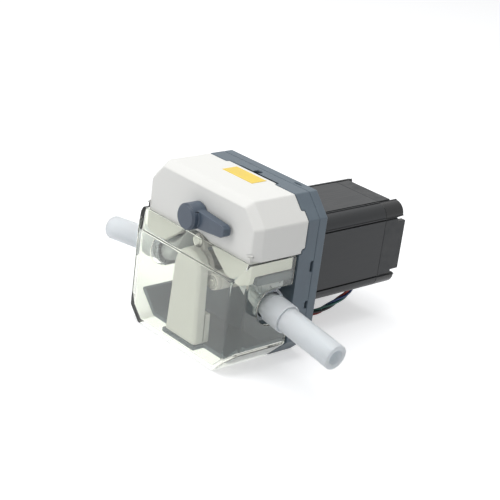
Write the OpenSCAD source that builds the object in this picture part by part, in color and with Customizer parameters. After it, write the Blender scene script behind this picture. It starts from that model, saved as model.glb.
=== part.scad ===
// Peristaltic pump with a lever-operated press block, a clear pull-off guard and a square flange-mounted motor.
// Millimetres. +Z is up, +X is to the right seen from the front, and the front faces -Y.
// The origin is the centre of the rear body's base face, under the rotor axis.

/* [Pump head] */
// Width of the head
head_w = 105; // [96:0.5:126]
// Height of the head above the surface it stands on
head_h = 108.6; // [106:0.2:131]
// Width of the slanting corners at the top
top_cut_x = 12.3; // [8:0.1:14]
// Height of the slanting corners at the top
top_cut_z = 13.5; // [8:0.1:14]
// Both legs of the slanting corners at the base
base_cut = 15; // [10:0.5:18]
// Thickness of the rear body plate
body_t = 13.4; // [12.8:0.2:18]
// Thickness of the motor flange
flange_t = 6.8; // [5.6:0.1:10]
// Height of the rotor axis above the base
axis_z = 52; // [50:0.5:56]

/* [Rotor] */
// Diameter of each roller
roller_d = 11; // [9:0.1:12]
// Length of each roller
roller_l = 23.4; // [20:0.1:28]
// Radius of the circle that the roller pins stand on
pin_circle_r = 15.5; // [14:0.1:19]
// Diameter of each roller pin
pin_d = 5; // [3:0.1:6]
// Thickness of the two rotor plates
plate_t = 3.2; // [2.6:0.1:4]
// Diameter of the drive shaft
shaft_d = 15; // [14:0.1:16]
// Diameter of the drive shaft's front journal
journal_d = 8; // [6:0.1:10]
// Radial running clearance of shafts and rollers
run_gap = 0.05; // [0.02:0.01:0.1]

/* [Pump tube] */
// Outer diameter of the tube
tube_d = 16.2; // [12:0.1:16.4]
// Wall of the tube
tube_wall = 3.3; // [2:0.1:3.6]
// How much the two walls are squeezed on the track
squeeze = 1.4; // [0.5:0.1:1.6]
// Height of the tube's axis where it passes the side walls
tube_exit_z = 43; // [42:0.1:44]
// Fall of the free tube ends in degrees
tube_droop = 8; // [0:0.5:12]
// Reach of the free tube ends beyond the side walls
tube_reach = 57; // [30:1:90]
// Length of the stop sleeves on the tube
sleeve_l = 14; // [8:0.5:20]
// Wall of the stop sleeves
sleeve_wall = 1.2; // [0.8:0.1:1.6]

/* [Press block] */
// Depth of the press block, front face to rear body
block_d = 36.4; // [36:0.1:44]
// Height of the lower edge of the block's visible sides
block_bottom_z = 74.2; // [72:0.1:78]
// Wall of the block's front
block_front_t = 4.2; // [3:0.1:5]
// Wall of the block's sides and top
block_wall = 3.6; // [3:0.1:5]
// Width of the edge bevel round the front face
block_bevel = 3.7; // [2:0.1:5]
// Room between the pin clips and the arch in the block's front wall
arch_room = 3.7; // [2.5:0.1:6]
// Lift of the block from running to open
lift = 11; // [6:0.5:12]
// Diameter of the guide posts
post_d = 6; // [4:0.1:8]
// Distance of the guide posts from the side faces
post_in = 11.5; // [9.5:0.1:13]

/* [Lever] */
// Height of the lever's axis
lever_z = 87; // [86:0.1:89]
// Diameter of the lever's hub
hub_d = 16.8; // [14:0.1:20]
// How far the lever stands proud of the block
hub_t = 11.6; // [9:0.1:14]
// Reach of the lever's arm from its axis
lever_reach = 31; // [24:0.5:36]
// Diameter of the lever's shaft
lever_shaft_d = 8; // [6:0.1:9]
// Diameter of the crank pin
crank_pin_d = 5; // [3:0.1:6]

/* [Guard] */
// How far the guard stands in front of the block
guard_lead = 9.7; // [9:0.1:14]
// Wall of the guard
guard_wall = 2.6; // [2:0.1:3]
// Height at which the guard's front turns back to the block
hood_z = 62; // [60:0.5:66]
// Legs of the bevel between the guard's front and sides
guard_bevel = 6; // [3:0.1:8]
// Radius of the tube slots in the guard's sides
slot_r = 12; // [11:0.1:13]

/* [Bearing arm] */
// Radius of the arm's round top
arm_r = 12.5; // [11:0.1:13.5]
// Width of the arm's foot
arm_foot_w = 29.7; // [26:0.1:34]
// Depth of the arm
arm_d = 7.4; // [7:0.1:7.6]
// Width of the bevel round the arm's front
arm_bevel = 1.6; // [0.5:0.1:2]
// Depth of the arm's foot
arm_foot_d = 12; // [10:0.1:13]
// Height of the deeper foot
arm_foot_z = 25; // [16:0.5:27]

/* [Motor] */
// Side of the square motor
motor_w = 60; // [56:0.5:62]
// Length of the motor
motor_l = 100; // [80:1:120]
// Length of the motor's rear cap
motor_cap_l = 19.4; // [18:0.1:26]
// Length of the motor's front plate
motor_front_l = 7.5; // [7.4:0.1:10]
// Diameter of the motor shaft
motor_shaft_d = 8; // [6:0.1:8]
// Spacing of the motor's bolts
bolt_pitch = 47.14; // [46:0.01:48]
// Diameter of the motor's bolts
bolt_d = 4; // [3:0.1:5]
// Diameter of the bundle of motor leads
lead_d = 4.2; // [3:0.1:4.6]

/* [Fastening holes] */
// Diameter of the threaded hole on top
top_hole_d = 5.3; // [4:0.1:6]
// Depth of the threaded hole on top
top_hole_l = 12; // [8:0.5:14]
// Diameter of the threaded holes in the base
base_hole_d = 4.2; // [3:0.1:5]
// Depth of the threaded holes in the base
base_hole_l = 12; // [8:0.5:14]
// Spacing of the threaded holes in the base
base_hole_pitch = 60; // [50:1:64]

/* [Hidden] */
$fn = 64;
eps = 0.01;
seat = 0.02;                                        // radial clearance of a part seated in its hole
slip = 0.3;                                         // clearance between parts that slide past each other
clamp_gap = 0.7;                                    // clearance round the soft tube in its clamps

// Planes along Y, from the front to the back
body_y0 = -body_t / 2;
body_y1 = body_t / 2;
flange_y1 = body_y1 + flange_t;
block_y0 = body_y0 - block_d;
guard_y0 = block_y0 - guard_lead;
upper_y0 = body_y0 + 2.1;                           // the rear body's front plane beside the press block
block_y1 = upper_y0 - slip;
rear_plate_y0 = body_y0 - 1.2 - plate_t;
roller_y1 = rear_plate_y0 - slip;
roller_y0 = roller_y1 - roller_l;
tube_y = (roller_y0 + roller_y1) / 2;
front_plate_y0 = roller_y0 - slip - plate_t;
clip_t = 1;
clip_w = 1.8;
insert_y0 = block_y0 + block_front_t;
insert_y1 = rear_plate_y0 - 0.1;
arm_y0 = guard_y0 + 5;
arm_y1 = arm_y0 + arm_d;
motor_y0 = flange_y1;
motor_y1 = motor_y0 + motor_l;
front_plate_y1 = motor_y0 + motor_front_l;
cap_y0 = motor_y1 - motor_cap_l;

// Rotor and tube
pressed = 2 * tube_wall - squeeze;                  // the tube's thickness between the rollers and the track
orbit_r = pin_circle_r + roller_d / 2;
squeezed_r0 = orbit_r + slip;
squeezed_r1 = squeezed_r0 + pressed;
track_r = squeezed_r1 + slip;
flat_w = PI * (tube_d - tube_wall) / 2 + tube_wall; // the squeezed tube's width
pin_angles = [102, -18, -138];
arch_r = pin_circle_r + pin_d / 2 + clip_w + arch_room;
plate_hub_r = 11;
plate_lobe_r = 5.2;
wall_x = head_w / 2;
guard_in_x = wall_x - guard_wall;
exit_x = wall_x - 3.5;                              // where the straight tube ends begin
track_end = 38;                                     // degrees above the horizontal where the tube leaves the track
mid_r = (squeezed_r0 + squeezed_r1) / 2;
leave = on_track(track_end);
land = [exit_x, tube_exit_z];

// Shaft ends and bearings, as bore, outer diameter and width
arm_bearing = [journal_d + 2 * run_gap, journal_d + 8, 5];
body_bearing = [shaft_d + 2 * run_gap, shaft_d + 9, 5];
motor_bearing = [motor_shaft_d + 2 * run_gap, motor_shaft_d + 14, 7];
body_bearing_y0 = body_y0 + 5.6;
arm_bearing_y0 = arm_y1 - arm_bearing[2] - 0.4;
drive_y0 = arm_bearing_y0 + 0.1;
journal_y1 = front_plate_y0 - clip_t - 0.5;
drive_y1 = flange_y1 - 2;
motor_shaft_y0 = body_y0;
boss_r = 19.05;                                     // the motor's round centring boss
boss_t = 1.6;

// Press block and lever
shelf_z1 = block_bottom_z - 10.7;
shelf_t = 5.5;
skirt_x = guard_in_x - 0.7;
skirt_t = 3;
skirt_z0 = shelf_z1 + 0.9;
swing = off_track(0.5);                             // the tube half way from the track to the side wall
lobe_x = swing[0] - 0.59;
lobe_z0 = swing[1] + swing[2] / 2 + 0.04;
insert_lobe_x = lobe_x + 4;
shelf_x = insert_lobe_x + slip + 0.2;
corner_x = wall_x - 10.5;
corner_z = lobe_z0 + 3.5;
post_x = wall_x - post_in;
wing_w = 5;
wing_y1 = body_y0 + 4.4;
tab_x0 = -23.8;
tab_x1 = 21.5;
tab_t = 4.2;
tab_y1 = body_y0 + 4;
post_y = tube_y + 6;
post_z1 = head_h - top_cut_z + 1.5;
insert_top_z = head_h - 8.6;
insert_x = skirt_x - skirt_t - slip;
bush_wall = 1.5;
bush_l = 8;
crank_r = lift / 2;
crank_y0 = insert_y1 + 0.2;
crank_disc_t = 1.6;
crank_disc_r = crank_r + crank_pin_d / 2 + 1;
slot_play = 0.24 * crank_r;                         // room for the difference between a circle and a straight lift
label_w = 28;
label_d = 12;
label_x = 1.6;
label_t = 0.25;
label_y0 = block_y0 + 24.9;

// Base tray
tray_z0 = guard_wall + slip;
tray_t = 3;
tray_z1 = tray_z0 + tray_t;
tray_y0 = block_y0 + 3;

// Motor leads: a loop under the motor, then along the floor
lead_route = [[14, 88, 25], [14, 88, 21], [14, 87, 17], [14, 83, 13.5], [14, 78, 11.5], [14, 72, 9.5], [13, 66, 7],
    [11, 60, 4.5], [6, 55, 2.6], [-1, 52, 2.2], [-8, 51.5, 2.2], [-13, 53, 2.2], [-16.5, 58, 2.2], [-17.5, 64, 2.2]];
hank_x = -30;
hank_y0 = 34;
hank_l = 74;
hank_w = 29.4;
hank_h = 2 * lead_d;
tie_t = 0.6;
hank_z0 = tie_t + 0.05;
plug_size = [9, 13, 7];
plug_x0 = hank_x - hank_w / 2 - 1.8;
plug_y0 = hank_y0 + 2 - plug_size[1];

// ---------- helpers ----------

// A flat outline in X and Z, extruded along Y from y0 to y1
module slab(y0, y1) {
    translate([0, y1, 0]) rotate([90, 0, 0]) linear_extrude(y1 - y0) children();
}

// A round bar along Y
module rod(r, y0, y1, x = 0, z = 0) {
    translate([x, y1, z]) rotate([90, 0, 0]) cylinder(r = r, h = y1 - y0);
}

// A ring along Y, given as bore, outer diameter and width
module ring_y(size, y0) {
    difference() {
        rod(size[1] / 2, y0, y0 + size[2], 0, axis_z);
        rod(size[0] / 2, y0 - 1, y0 + size[2] + 1, 0, axis_z);
    }
}

// The head's outline: a rectangle with slanting corners, made smaller all round by inset
module head_outline(inset = 0) {
    x = wall_x - inset;
    k = inset * 0.414;                              // keeps the slanting faces parallel
    polygon([
        [-x, base_cut + k], [-wall_x + base_cut + k, inset], [wall_x - base_cut - k, inset], [x, base_cut + k],
        [x, head_h - top_cut_z - k], [wall_x - top_cut_x - k, head_h - inset],
        [-wall_x + top_cut_x + k, head_h - inset], [-x, head_h - top_cut_z - k]]);
}

// Four places on a square round the rotor axis
module at_bolts(pitch) {
    for (x = [-1, 1], z = [-1, 1]) translate([x * pitch / 2, 0, axis_z + z * pitch / 2]) children();
}

// The places of the three roller pins
module at_pins() {
    for (a = pin_angles) translate([pin_circle_r * cos(a), 0, axis_z + pin_circle_r * sin(a)]) children();
}

// A cap screw along Y: its head sits at y0 and its tip at y1
module cap_screw(d, y0, y1, head_l = 0) {
    head = head_l > 0 ? head_l : d;
    difference() {
        union() {
            rod(0.85 * d, y0, y0 + head);
            rod(d / 2, y0 + head, y1);
        }
        translate([0, y0 - eps, 0]) rotate([-90, 0, 0]) cylinder(r = 0.45 * d, h = head * 0.6, $fn = 6);
    }
}

// ---------- rear body, flange and bearing arm ----------

// The low front part of the body that lies inside the guard: its floor, slanting walls and the two shelves
module base_tray() {
    in = guard_wall + slip;
    k = in * 0.414;
    slab(tray_y0, body_y0 + 1) polygon([
        [-guard_in_x + slip, base_cut + k + 2], [-guard_in_x + slip, base_cut + k], [-wall_x + base_cut + k, tray_z0],
        [wall_x - base_cut - k, tray_z0], [guard_in_x - slip, base_cut + k], [guard_in_x - slip, base_cut + k + 2],
        [guard_in_x - slip - tray_t, base_cut + k + 2], [wall_x - base_cut - k - 1.2, tray_z1],
        [-wall_x + base_cut + k + 1.2, tray_z1], [-guard_in_x + slip + tray_t, base_cut + k + 2]]);
    slab(arm_y0 - 0.8, tray_y0 + 1) translate([-arm_foot_w / 2 - 1, tray_z0]) square([arm_foot_w + 2, tray_t]);
}

module shelves() {
    for (s = [-1, 1]) translate([s > 0 ? shelf_x : -skirt_x + 0.2, insert_y0 + 2.2, shelf_z1 - shelf_t])
        cube([skirt_x - 0.2 - shelf_x, body_y0 - insert_y0 - 1.2, shelf_t]);
}

module rear_body() {
    color("slategray") difference() {
        union() {
            slab(body_y0, body_y1) head_outline();
            base_tray();
            shelves();
        }
        // step back beside the press block, and pockets for its wings and tab
        translate([-head_w, body_y0 - 1, block_bottom_z - slip]) cube([2 * head_w, upper_y0 - body_y0 + 1, head_h]);
        for (s = [-1, 1]) translate([s > 0 ? wall_x - wing_w - slip : -wall_x - 1, body_y0, block_bottom_z + 2.7])
            cube([wing_w + slip + 1, wing_y1 - body_y0 + slip, head_h]);
        translate([tab_x0 - slip, body_y0, head_h - tab_t - slip])
            cube([tab_x1 - tab_x0 + 2 * slip, tab_y1 - body_y0 + slip, tab_t + 1]);
        // shaft bore with the seal in front and the bearing behind
        rod(shaft_d / 2 + 2.2, body_y0 - 1, body_y1 + 1, 0, axis_z);
        rod(body_bearing[1] / 2 + seat, body_y0 - 1, body_y0 + 4, 0, axis_z);
        rod(body_bearing[1] / 2 + seat, body_bearing_y0, body_y1 + 1, 0, axis_z);
        // slot for the crank pin
        for (x = [-crank_r, crank_r]) translate([x, 0, 0]) crank_slot_end();
        translate([-crank_r, body_y0, lever_z + crank_r - crank_pin_d / 2 - slot_play])
            cube([2 * crank_r, upper_y0 - body_y0 + 4.3, crank_pin_d + 2 * slot_play]);
        // threaded holes: one on top, two in the base
        translate([0, 0.7, head_h - top_hole_l]) cylinder(d = top_hole_d, h = top_hole_l + 1);
        for (s = [-1, 1]) translate([s * base_hole_pitch / 2, 0, -1]) cylinder(d = base_hole_d, h = base_hole_l + 1);
        // screw holes for the flange, the arm and the tube clamps
        at_flange_screws() rod(bolt_d / 2 + seat, body_y1 - 8, body_y1 + 1);
        at_arm_screws() translate([0, 0, tray_z0 - 1]) cylinder(d = 4 + 2 * seat, h = tray_t + 2);
        at_clamp_screws() translate([0, 0, shelf_z1 - shelf_t - 1]) cylinder(d = 3 + 2 * seat, h = shelf_t);
        // guide post seats
        at_posts() translate([0, 0, shelf_z1 - shelf_t - 1]) cylinder(d = post_d + 2 * seat, h = shelf_t + 2);
        // relief notches in the sides, beside the flange
        for (s = [-1, 1], z = [[60.6, 7], [36, 5]]) translate([s * wall_x - 2, body_y1 - 2.3, z[0]])
            cube([4, 2.3 + eps, z[1]]);
    }
}

module crank_slot_end() {
    rod(crank_pin_d / 2 + slot_play, body_y0, upper_y0 + 4.3, 0, lever_z + crank_r);
}

module at_posts() {
    for (s = [-1, 1]) translate([s * post_x, post_y, 0]) children();
}

module at_arm_screws() {
    for (s = [-1, 1]) translate([s * 8, arm_y0 + arm_foot_d / 2, 0]) children();
}

module at_clamp_screws() {
    for (s = [-1, 1]) translate([s * (exit_x - 4), tube_y - 5, 0]) children();
}

module at_flange_screws() {
    for (x = [-1, 1], z = [-1, 1]) translate([x * (wall_x - 12.5), 0, axis_z + z * 38]) children();
}

module motor_flange() {
    color("lightslategray") difference() {
        union() {
            slab(body_y1, flange_y1) head_outline();
            rod(body_bearing[1] / 2 - 0.1, body_bearing_y0 + body_bearing[2], body_y1 + 1, 0, axis_z);
        }
        rod(shaft_d / 2 + 2, body_y0, flange_y1 + 1, 0, axis_z);
        rod(boss_r + seat, flange_y1 - boss_t - 0.2, flange_y1 + 1, 0, axis_z);
        at_bolts(bolt_pitch) rod(bolt_d / 2 + seat, body_y1 + 1, flange_y1 + 1);
        at_flange_screws() {
            rod(bolt_d / 2 + seat, body_y1 - 1, flange_y1 + 1);
            rod(bolt_d * 0.85 + 0.1, flange_y1 - bolt_d - seat, flange_y1 + 1);
        }
        // hand slot in the top edge
        translate([24, body_y1 + 2.4, head_h - 2]) cube([6, 1.6, 3]);
    }
}

module flange_screws() {
    color("dimgray") at_flange_screws() mirror([0, 1, 0]) cap_screw(bolt_d, -flange_y1, -body_y1 + 7);
}

// The arm's outline: a round top on a foot that widens downwards, made smaller at the sides and top by inset
module arm_outline(inset = 0) {
    r = arm_r - inset;
    foot = arm_foot_w / 2 - inset;
    translate([0, axis_z]) circle(r = r);
    polygon([[-foot, tray_z1], [foot, tray_z1], [r, axis_z], [-r, axis_z]]);
}

module bearing_arm() {
    color("whitesmoke") difference() {
        union() {
            hull() {
                slab(arm_y0, arm_y0 + 0.1) arm_outline(arm_bevel);
                slab(arm_y0 + arm_bevel, arm_y1) arm_outline();
            }
            slab(arm_y1 - 1, arm_y0 + arm_foot_d) intersection() {
                arm_outline();
                translate([-head_w / 2, 0]) square([head_w, arm_foot_z]);
            }
        }
        rod(arm_bearing[1] / 2 + seat, arm_bearing_y0, arm_y1 + 1, 0, axis_z);
        at_arm_screws() translate([0, 0, tray_z1 - 1]) cylinder(d = 4 + 2 * seat, h = 11);
    }
}

// Screws that hold the arm from below, through the tray
module arm_screws() {
    color("silver") at_arm_screws() translate([0, 0, tray_z0]) cylinder(d = 4, h = 12);
}

module front_bearing() {
    color("silver") ring_y(arm_bearing, arm_bearing_y0);
}

module rear_bearing() {
    color("silver") ring_y(body_bearing, body_bearing_y0);
}

module shaft_seal() {
    color("dimgray") ring_y([shaft_d + 2 * run_gap, body_bearing[1], 3.8], body_y0 + 0.1);
}

module guide_posts() {
    color("silver") at_posts() translate([0, 0, shelf_z1 - shelf_t]) cylinder(d = post_d, h = post_z1 - shelf_z1 + shelf_t);
}

// ---------- tube and its clamps ----------

// Direction of a free tube end, s = 1 on the right and -1 on the left
module at_tube_end(s) {
    translate([s * exit_x, tube_y, tube_exit_z]) rotate([0, s * (90 + tube_droop), 0]) children();
}

module tube_clamp(s) {
    across = tube_d + 5;
    color("aliceblue", 0.8) difference() {
        union() {
            at_tube_end(s) translate([0, 0, -3.4]) rotate(22.5) cylinder(d = across / cos(22.5), h = 3.5, $fn = 8);
            translate([s > 0 ? exit_x - 7.5 : -exit_x + 0.5, tube_y - 9, tube_exit_z + tube_d / 2 + 0.8])
                cube([7, 18, shelf_z1 - shelf_t - tube_exit_z - tube_d / 2 - 0.8]);
        }
        at_tube_end(s) {
            translate([0, 0, -12]) cylinder(d = tube_d + 2 * clamp_gap, h = 24);
            translate([0, 0, -12]) cylinder(d1 = tube_d + 2 * clamp_gap + 8, d2 = tube_d + 2 * clamp_gap, h = 11.5);
        }
        at_clamp_screws() translate([0, 0, shelf_z1 - shelf_t - 4]) cylinder(d = 3 + 2 * seat, h = 5);
    }
}

module tube_clamp_left() { tube_clamp(-1); }

module tube_clamp_right() { tube_clamp(1); }

module clamp_screws() {
    color("silver") at_clamp_screws() translate([0, 0, shelf_z1 - shelf_t - 4]) cylinder(d = 3, h = 8.2);
}

// Points of the tube's middle line, right half, from the top of the track to the side wall:
// place in X and Z, thickness in the plane, width along Y, direction in degrees
function on_track(a) = [mid_r * cos(a), axis_z + mid_r * sin(a), pressed, flat_w, a - 90];
function mix(a, b, t) = a + (b - a) * t;
function ease(t) = t * t * (3 - 2 * t);
// A cubic curve from the track to the wall
function bend(t, p0, d0, p1, d1, k) = pow(1 - t, 3) * p0 + 3 * t * pow(1 - t, 2) * (p0 + k * d0)
    + 3 * t * t * (1 - t) * (p1 - k * d1) + pow(t, 3) * p1;
function heading(a) = [cos(a), sin(a)];
function slope(t, k) = let (a = bend(t - 0.01, [leave[0], leave[1]], heading(leave[4]), land, heading(-tube_droop), k),
    b = bend(t + 0.01, [leave[0], leave[1]], heading(leave[4]), land, heading(-tube_droop), k))
    atan2(b[1] - a[1], b[0] - a[0]);
function off_track(t) = let (k = 0.431 * (land[0] - leave[0]), p = bend(t, [leave[0], leave[1]], heading(leave[4]), land,
    heading(-tube_droop), k)) [p[0], p[1], mix(pressed, tube_d - 0.5, pow(ease(t), 1.15)),
    mix(flat_w, tube_d - 0.5, pow(ease(t), 1.15)), t >= 1 ? -tube_droop : slope(t, k)];
right_half = concat([for (a = [80 : -10 : track_end + 2]) on_track(a)], [for (t = [0 : 0.125 : 1]) off_track(t)]);
left_half = [for (i = [len(right_half) - 1 : -1 : 0]) let (p = right_half[i]) [-p[0], p[1], p[2], p[3], -p[4]]];
tube_line = concat(left_half, [on_track(90)], right_half);
tube_sides = 12;
function tube_ring(p) = [for (k = [0 : tube_sides - 1]) let (c = 360 * k / tube_sides, u = p[2] / 2 * sin(c),
    v = p[3] / 2 * cos(c)) [p[0] - u * sin(p[4]), tube_y + v, p[1] + u * cos(p[4])]];

// A closed skin over a list of rings of n points each
module skin(rings, n) {
    last = (len(rings) - 1) * n;
    polyhedron(
        points = [for (r = rings, p = r) p],
        faces = concat(
            [[for (k = [0 : n - 1]) k]],
            [for (i = [0 : len(rings) - 2], k = [0 : n - 1]) let (a = i * n + k, b = i * n + (k + 1) % n)
                [a, a + n, b + n, b]],
            [[for (k = [n - 1 : -1 : 0]) last + k]]));
}

module pump_tube() {
    color("lightcyan", 0.8) {
        skin([for (p = tube_line) tube_ring(p)], tube_sides);
        for (s = [-1, 1]) at_tube_end(s) difference() {
            translate([0, 0, -3]) cylinder(d = tube_d, h = tube_reach + wall_x - exit_x + 3);
            translate([0, 0, 4]) cylinder(d = tube_d - 2 * tube_wall, h = tube_reach + wall_x);
        }
    }
}

module tube_sleeve(s) {
    color("aliceblue", 0.8) at_tube_end(s) translate([0, 0, wall_x - exit_x + 0.4]) difference() {
        cylinder(d = tube_d + 2 * sleeve_wall + 2 * seat, h = sleeve_l);
        translate([0, 0, -1]) cylinder(d = tube_d + 2 * seat, h = sleeve_l + 2);
    }
}

module tube_sleeve_left() { tube_sleeve(-1); }

module tube_sleeve_right() { tube_sleeve(1); }

// ---------- motor ----------

corner_w = 8.5;
corner_r = 8;
groove = 1.2;

// The motor's outline: flat sides with a round bar at each corner and a groove beside each bar
module motor_outline() {
    flat = motor_w - 2 * corner_w;
    translate([0, axis_z]) difference() {
        union() {
            square([motor_w, flat], center = true);
            square([flat, motor_w], center = true);
            for (x = [-1, 1], z = [-1, 1]) translate([x * flat / 2, z * flat / 2]) circle(r = corner_r);
        }
        for (a = [0 : 90 : 270], s = [-1, 1]) rotate(a) translate([motor_w / 2, s * (flat / 2 - groove)])
            square([2.2, groove], center = true);
    }
}

module motor_front_plate() {
    color("dimgray") difference() {
        union() {
            slab(motor_y0, front_plate_y1) motor_outline();
            rod(boss_r, motor_y0 - boss_t, motor_y0 + 1, 0, axis_z);
        }
        rod(motor_shaft_d / 2 + 1.5, motor_y0 - boss_t - 1, front_plate_y1 + 1, 0, axis_z);
        rod(motor_bearing[1] / 2 + seat, front_plate_y1 - motor_bearing[2], front_plate_y1 + 1, 0, axis_z);
        at_bolts(bolt_pitch) rod(bolt_d / 2 + seat, motor_y0 - 1, front_plate_y1 + 1);
    }
}

module motor_front_bearing() {
    color("silver") ring_y(motor_bearing, front_plate_y1 - motor_bearing[2]);
}

housing_bore_r = 26.5;

module motor_housing() {
    color("#3a3f44") difference() {
        slab(front_plate_y1, cap_y0) motor_outline();
        rod(housing_bore_r, front_plate_y1 - 1, cap_y0 + 1, 0, axis_z);
        at_bolts(bolt_pitch) rod(bolt_d / 2 + seat, front_plate_y1 - 1, cap_y0 + 1);
        translate([14, 88, axis_z - motor_w / 2 - 1]) cylinder(r = 3.2 + seat, h = 12);
    }
}

// Eight toothed poles inside a ring, with room round the magnet
module motor_stator() {
    magnet_r = 14;
    color("darkgoldenrod") slab(front_plate_y1 + 14, cap_y0 - 14) translate([0, axis_z]) difference() {
        circle(r = housing_bore_r - seat);
        circle(r = magnet_r + 0.4);
        for (a = [0 : 45 : 315]) rotate(a + 22.5) translate([magnet_r + 3, -2.5]) square([6, 5]);
    }
}

module motor_rear_bearing() {
    color("silver") ring_y(motor_bearing, cap_y0);
}

module motor_rear_cap() {
    panel = motor_w - 2 * corner_w - 8;
    color("#2f3337") difference() {
        union() {
            slab(cap_y0, motor_y1 - 7.4) motor_outline();
            for (a = [0, 180]) slab(cap_y0, motor_y1) translate([0, axis_z]) rotate(a)
                translate([motor_w / 2 - 4, -panel / 2]) square([4, panel]);
            slab(cap_y0, motor_y1 - 2.6) intersection() {
                motor_outline();
                translate([0, axis_z]) for (x = [-1, 1], z = [-1, 1]) translate([x * motor_w / 2, z * motor_w / 2])
                    square(2 * corner_w + 2, center = true);
            }
        }
        rod(motor_bearing[1] / 2 + seat, cap_y0 - 1, cap_y0 + motor_bearing[2], 0, axis_z);
        rod(motor_shaft_d / 2 + 1, cap_y0, cap_y0 + motor_bearing[2] + 2, 0, axis_z);
        at_bolts(bolt_pitch) {
            rod(bolt_d / 2 + seat, cap_y0 - 1, motor_y1);
            rod(bolt_d * 0.85 + 0.1, motor_y1 - 2.6 - bolt_d, motor_y1);
        }
    }
}

module motor_bolts() {
    color("silver") at_bolts(bolt_pitch) mirror([0, 1, 0]) cap_screw(bolt_d, -motor_y1 + 2.6, -body_y1 - 1);
}

module lead_grommet() {
    color("#222222") translate([14, 88, axis_z - motor_w / 2]) difference() {
        union() {
            translate([0, 0, -1.2]) cylinder(r = 4.6, h = 1.2);
            cylinder(r = 3.2, h = 6);
        }
        translate([0, 0, -2]) cylinder(r = lead_d / 2 + 0.15, h = 10);
    }
}

// ---------- motor leads ----------

lead_sides = 8;
lead_ref = [1, 1, 1];
function unit(v) = v / norm(v);
function lead_dir(i) = unit(lead_route[min(i + 1, len(lead_route) - 1)] - lead_route[max(i - 1, 0)]);
function lead_ring(i) = let (d = lead_dir(i), u = unit(cross(d, lead_ref)), v = cross(d, u))
    [for (k = [0 : lead_sides - 1]) let (c = 360 * k / lead_sides)
        lead_route[i] + lead_d / 2 * (cos(c) * u + sin(c) * v)];

module motor_leads() {
    color("firebrick") skin([for (i = [len(lead_route) - 1 : -1 : 0]) lead_ring(i)], lead_sides);
}

// The leads' spare length, wound lengthwise on the floor
module leads_hank() {
    r = hank_w / 2;
    color("firebrick") translate([hank_x, 0, hank_z0]) linear_extrude(hank_h) difference() {
        union() {
            for (y = [hank_y0 + r, hank_y0 + hank_l - r]) translate([0, y]) circle(r = r);
            translate([-r, hank_y0 + r]) square([2 * r, hank_l - 2 * r]);
        }
        union() {
            for (y = [hank_y0 + r, hank_y0 + hank_l - r]) translate([0, y]) circle(r = r - lead_d);
            translate([-r + lead_d, hank_y0 + r]) square([2 * (r - lead_d), hank_l - 2 * r]);
        }
    }
}

// A band round the outer run of the hank
module leads_tie() {
    x1 = hank_x + hank_w / 2;
    color("#222222") translate([x1 - lead_d / 2, hank_y0 + hank_l / 2 + 6, hank_z0 + hank_h / 2]) difference() {
        cube([lead_d + 0.1 + 2 * tie_t, 4, hank_h + 0.1 + 2 * tie_t], center = true);
        cube([lead_d + 0.1, 5, hank_h + 0.1], center = true);
    }
}

// Four-way plug on the end of the leads
module leads_plug() {
    color("white") translate([plug_x0, plug_y0, 0]) difference() {
        cube(plug_size);
        for (i = [0 : 3]) translate([1 + 1.9 * i, -1, 2.6]) cube([1.4, 6, 1.8]);
    }
}

// ---------- rotor ----------

module drive_shaft() {
    color("silver") difference() {
        union() {
            rod(journal_d / 2, drive_y0, journal_y1 + 1, 0, axis_z);
            rod(shaft_d / 2, journal_y1, drive_y1, 0, axis_z);
        }
        rod(motor_shaft_d / 2 + run_gap, motor_shaft_y0 - 0.5, drive_y1 + 1, 0, axis_z);
        translate([0, drive_y1 - 3.2, axis_z]) cylinder(r = 1.5 + seat, h = shaft_d);
    }
}

module shaft_grub_screw() {
    color("dimgray") translate([0, drive_y1 - 3.2, axis_z + motor_shaft_d / 2 + run_gap])
        cylinder(r = 1.5, h = shaft_d / 2 - motor_shaft_d / 2 - run_gap - 0.1);
}

module rotor_plate(y0) {
    difference() {
        slab(y0, y0 + plate_t) {
            translate([0, axis_z]) circle(r = plate_hub_r);
            for (a = pin_angles) translate([0, axis_z]) rotate(a) {
                translate([pin_circle_r, 0]) circle(r = plate_lobe_r);
                translate([0, -plate_lobe_r]) square([pin_circle_r, 2 * plate_lobe_r]);
            }
        }
        rod(shaft_d / 2 + seat, y0 - 1, y0 + plate_t + 1, 0, axis_z);
        at_pins() rod(pin_d / 2 + seat, y0 - 1, y0 + plate_t + 1);
    }
}

module front_rotor_plate() {
    color("gainsboro") rotor_plate(front_plate_y0);
}

module rear_rotor_plate() {
    color("gainsboro") rotor_plate(rear_plate_y0);
}

module roller_pins() {
    color("silver") at_pins() rod(pin_d / 2, front_plate_y0 - clip_t - 0.4, rear_plate_y0 + plate_t + 0.2);
}

module pin_clips() {
    color("dimgray") at_pins() difference() {
        rod(pin_d / 2 + clip_w, front_plate_y0 - clip_t, front_plate_y0);
        rod(pin_d / 2 + seat, front_plate_y0 - clip_t - 1, front_plate_y0 + 1);
    }
}

module roller(i) {
    a = pin_angles[i];
    color("gainsboro") translate([pin_circle_r * cos(a), 0, axis_z + pin_circle_r * sin(a)]) difference() {
        rod(roller_d / 2, roller_y0, roller_y1);
        rod(pin_d / 2 + run_gap, roller_y0 - 1, roller_y1 + 1);
    }
}

module roller_1() { roller(0); }

module roller_2() { roller(1); }

module roller_3() { roller(2); }

module motor_shaft() {
    color("silver") rod(motor_shaft_d / 2, motor_shaft_y0, cap_y0 + motor_bearing[2] + 1, 0, axis_z);
}

module motor_magnet() {
    color("dimgray") difference() {
        rod(14, front_plate_y1 + 12, cap_y0 - 12, 0, axis_z);
        rod(motor_shaft_d / 2 + seat, front_plate_y1, cap_y0, 0, axis_z);
    }
}

// ---------- press block ----------

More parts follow.
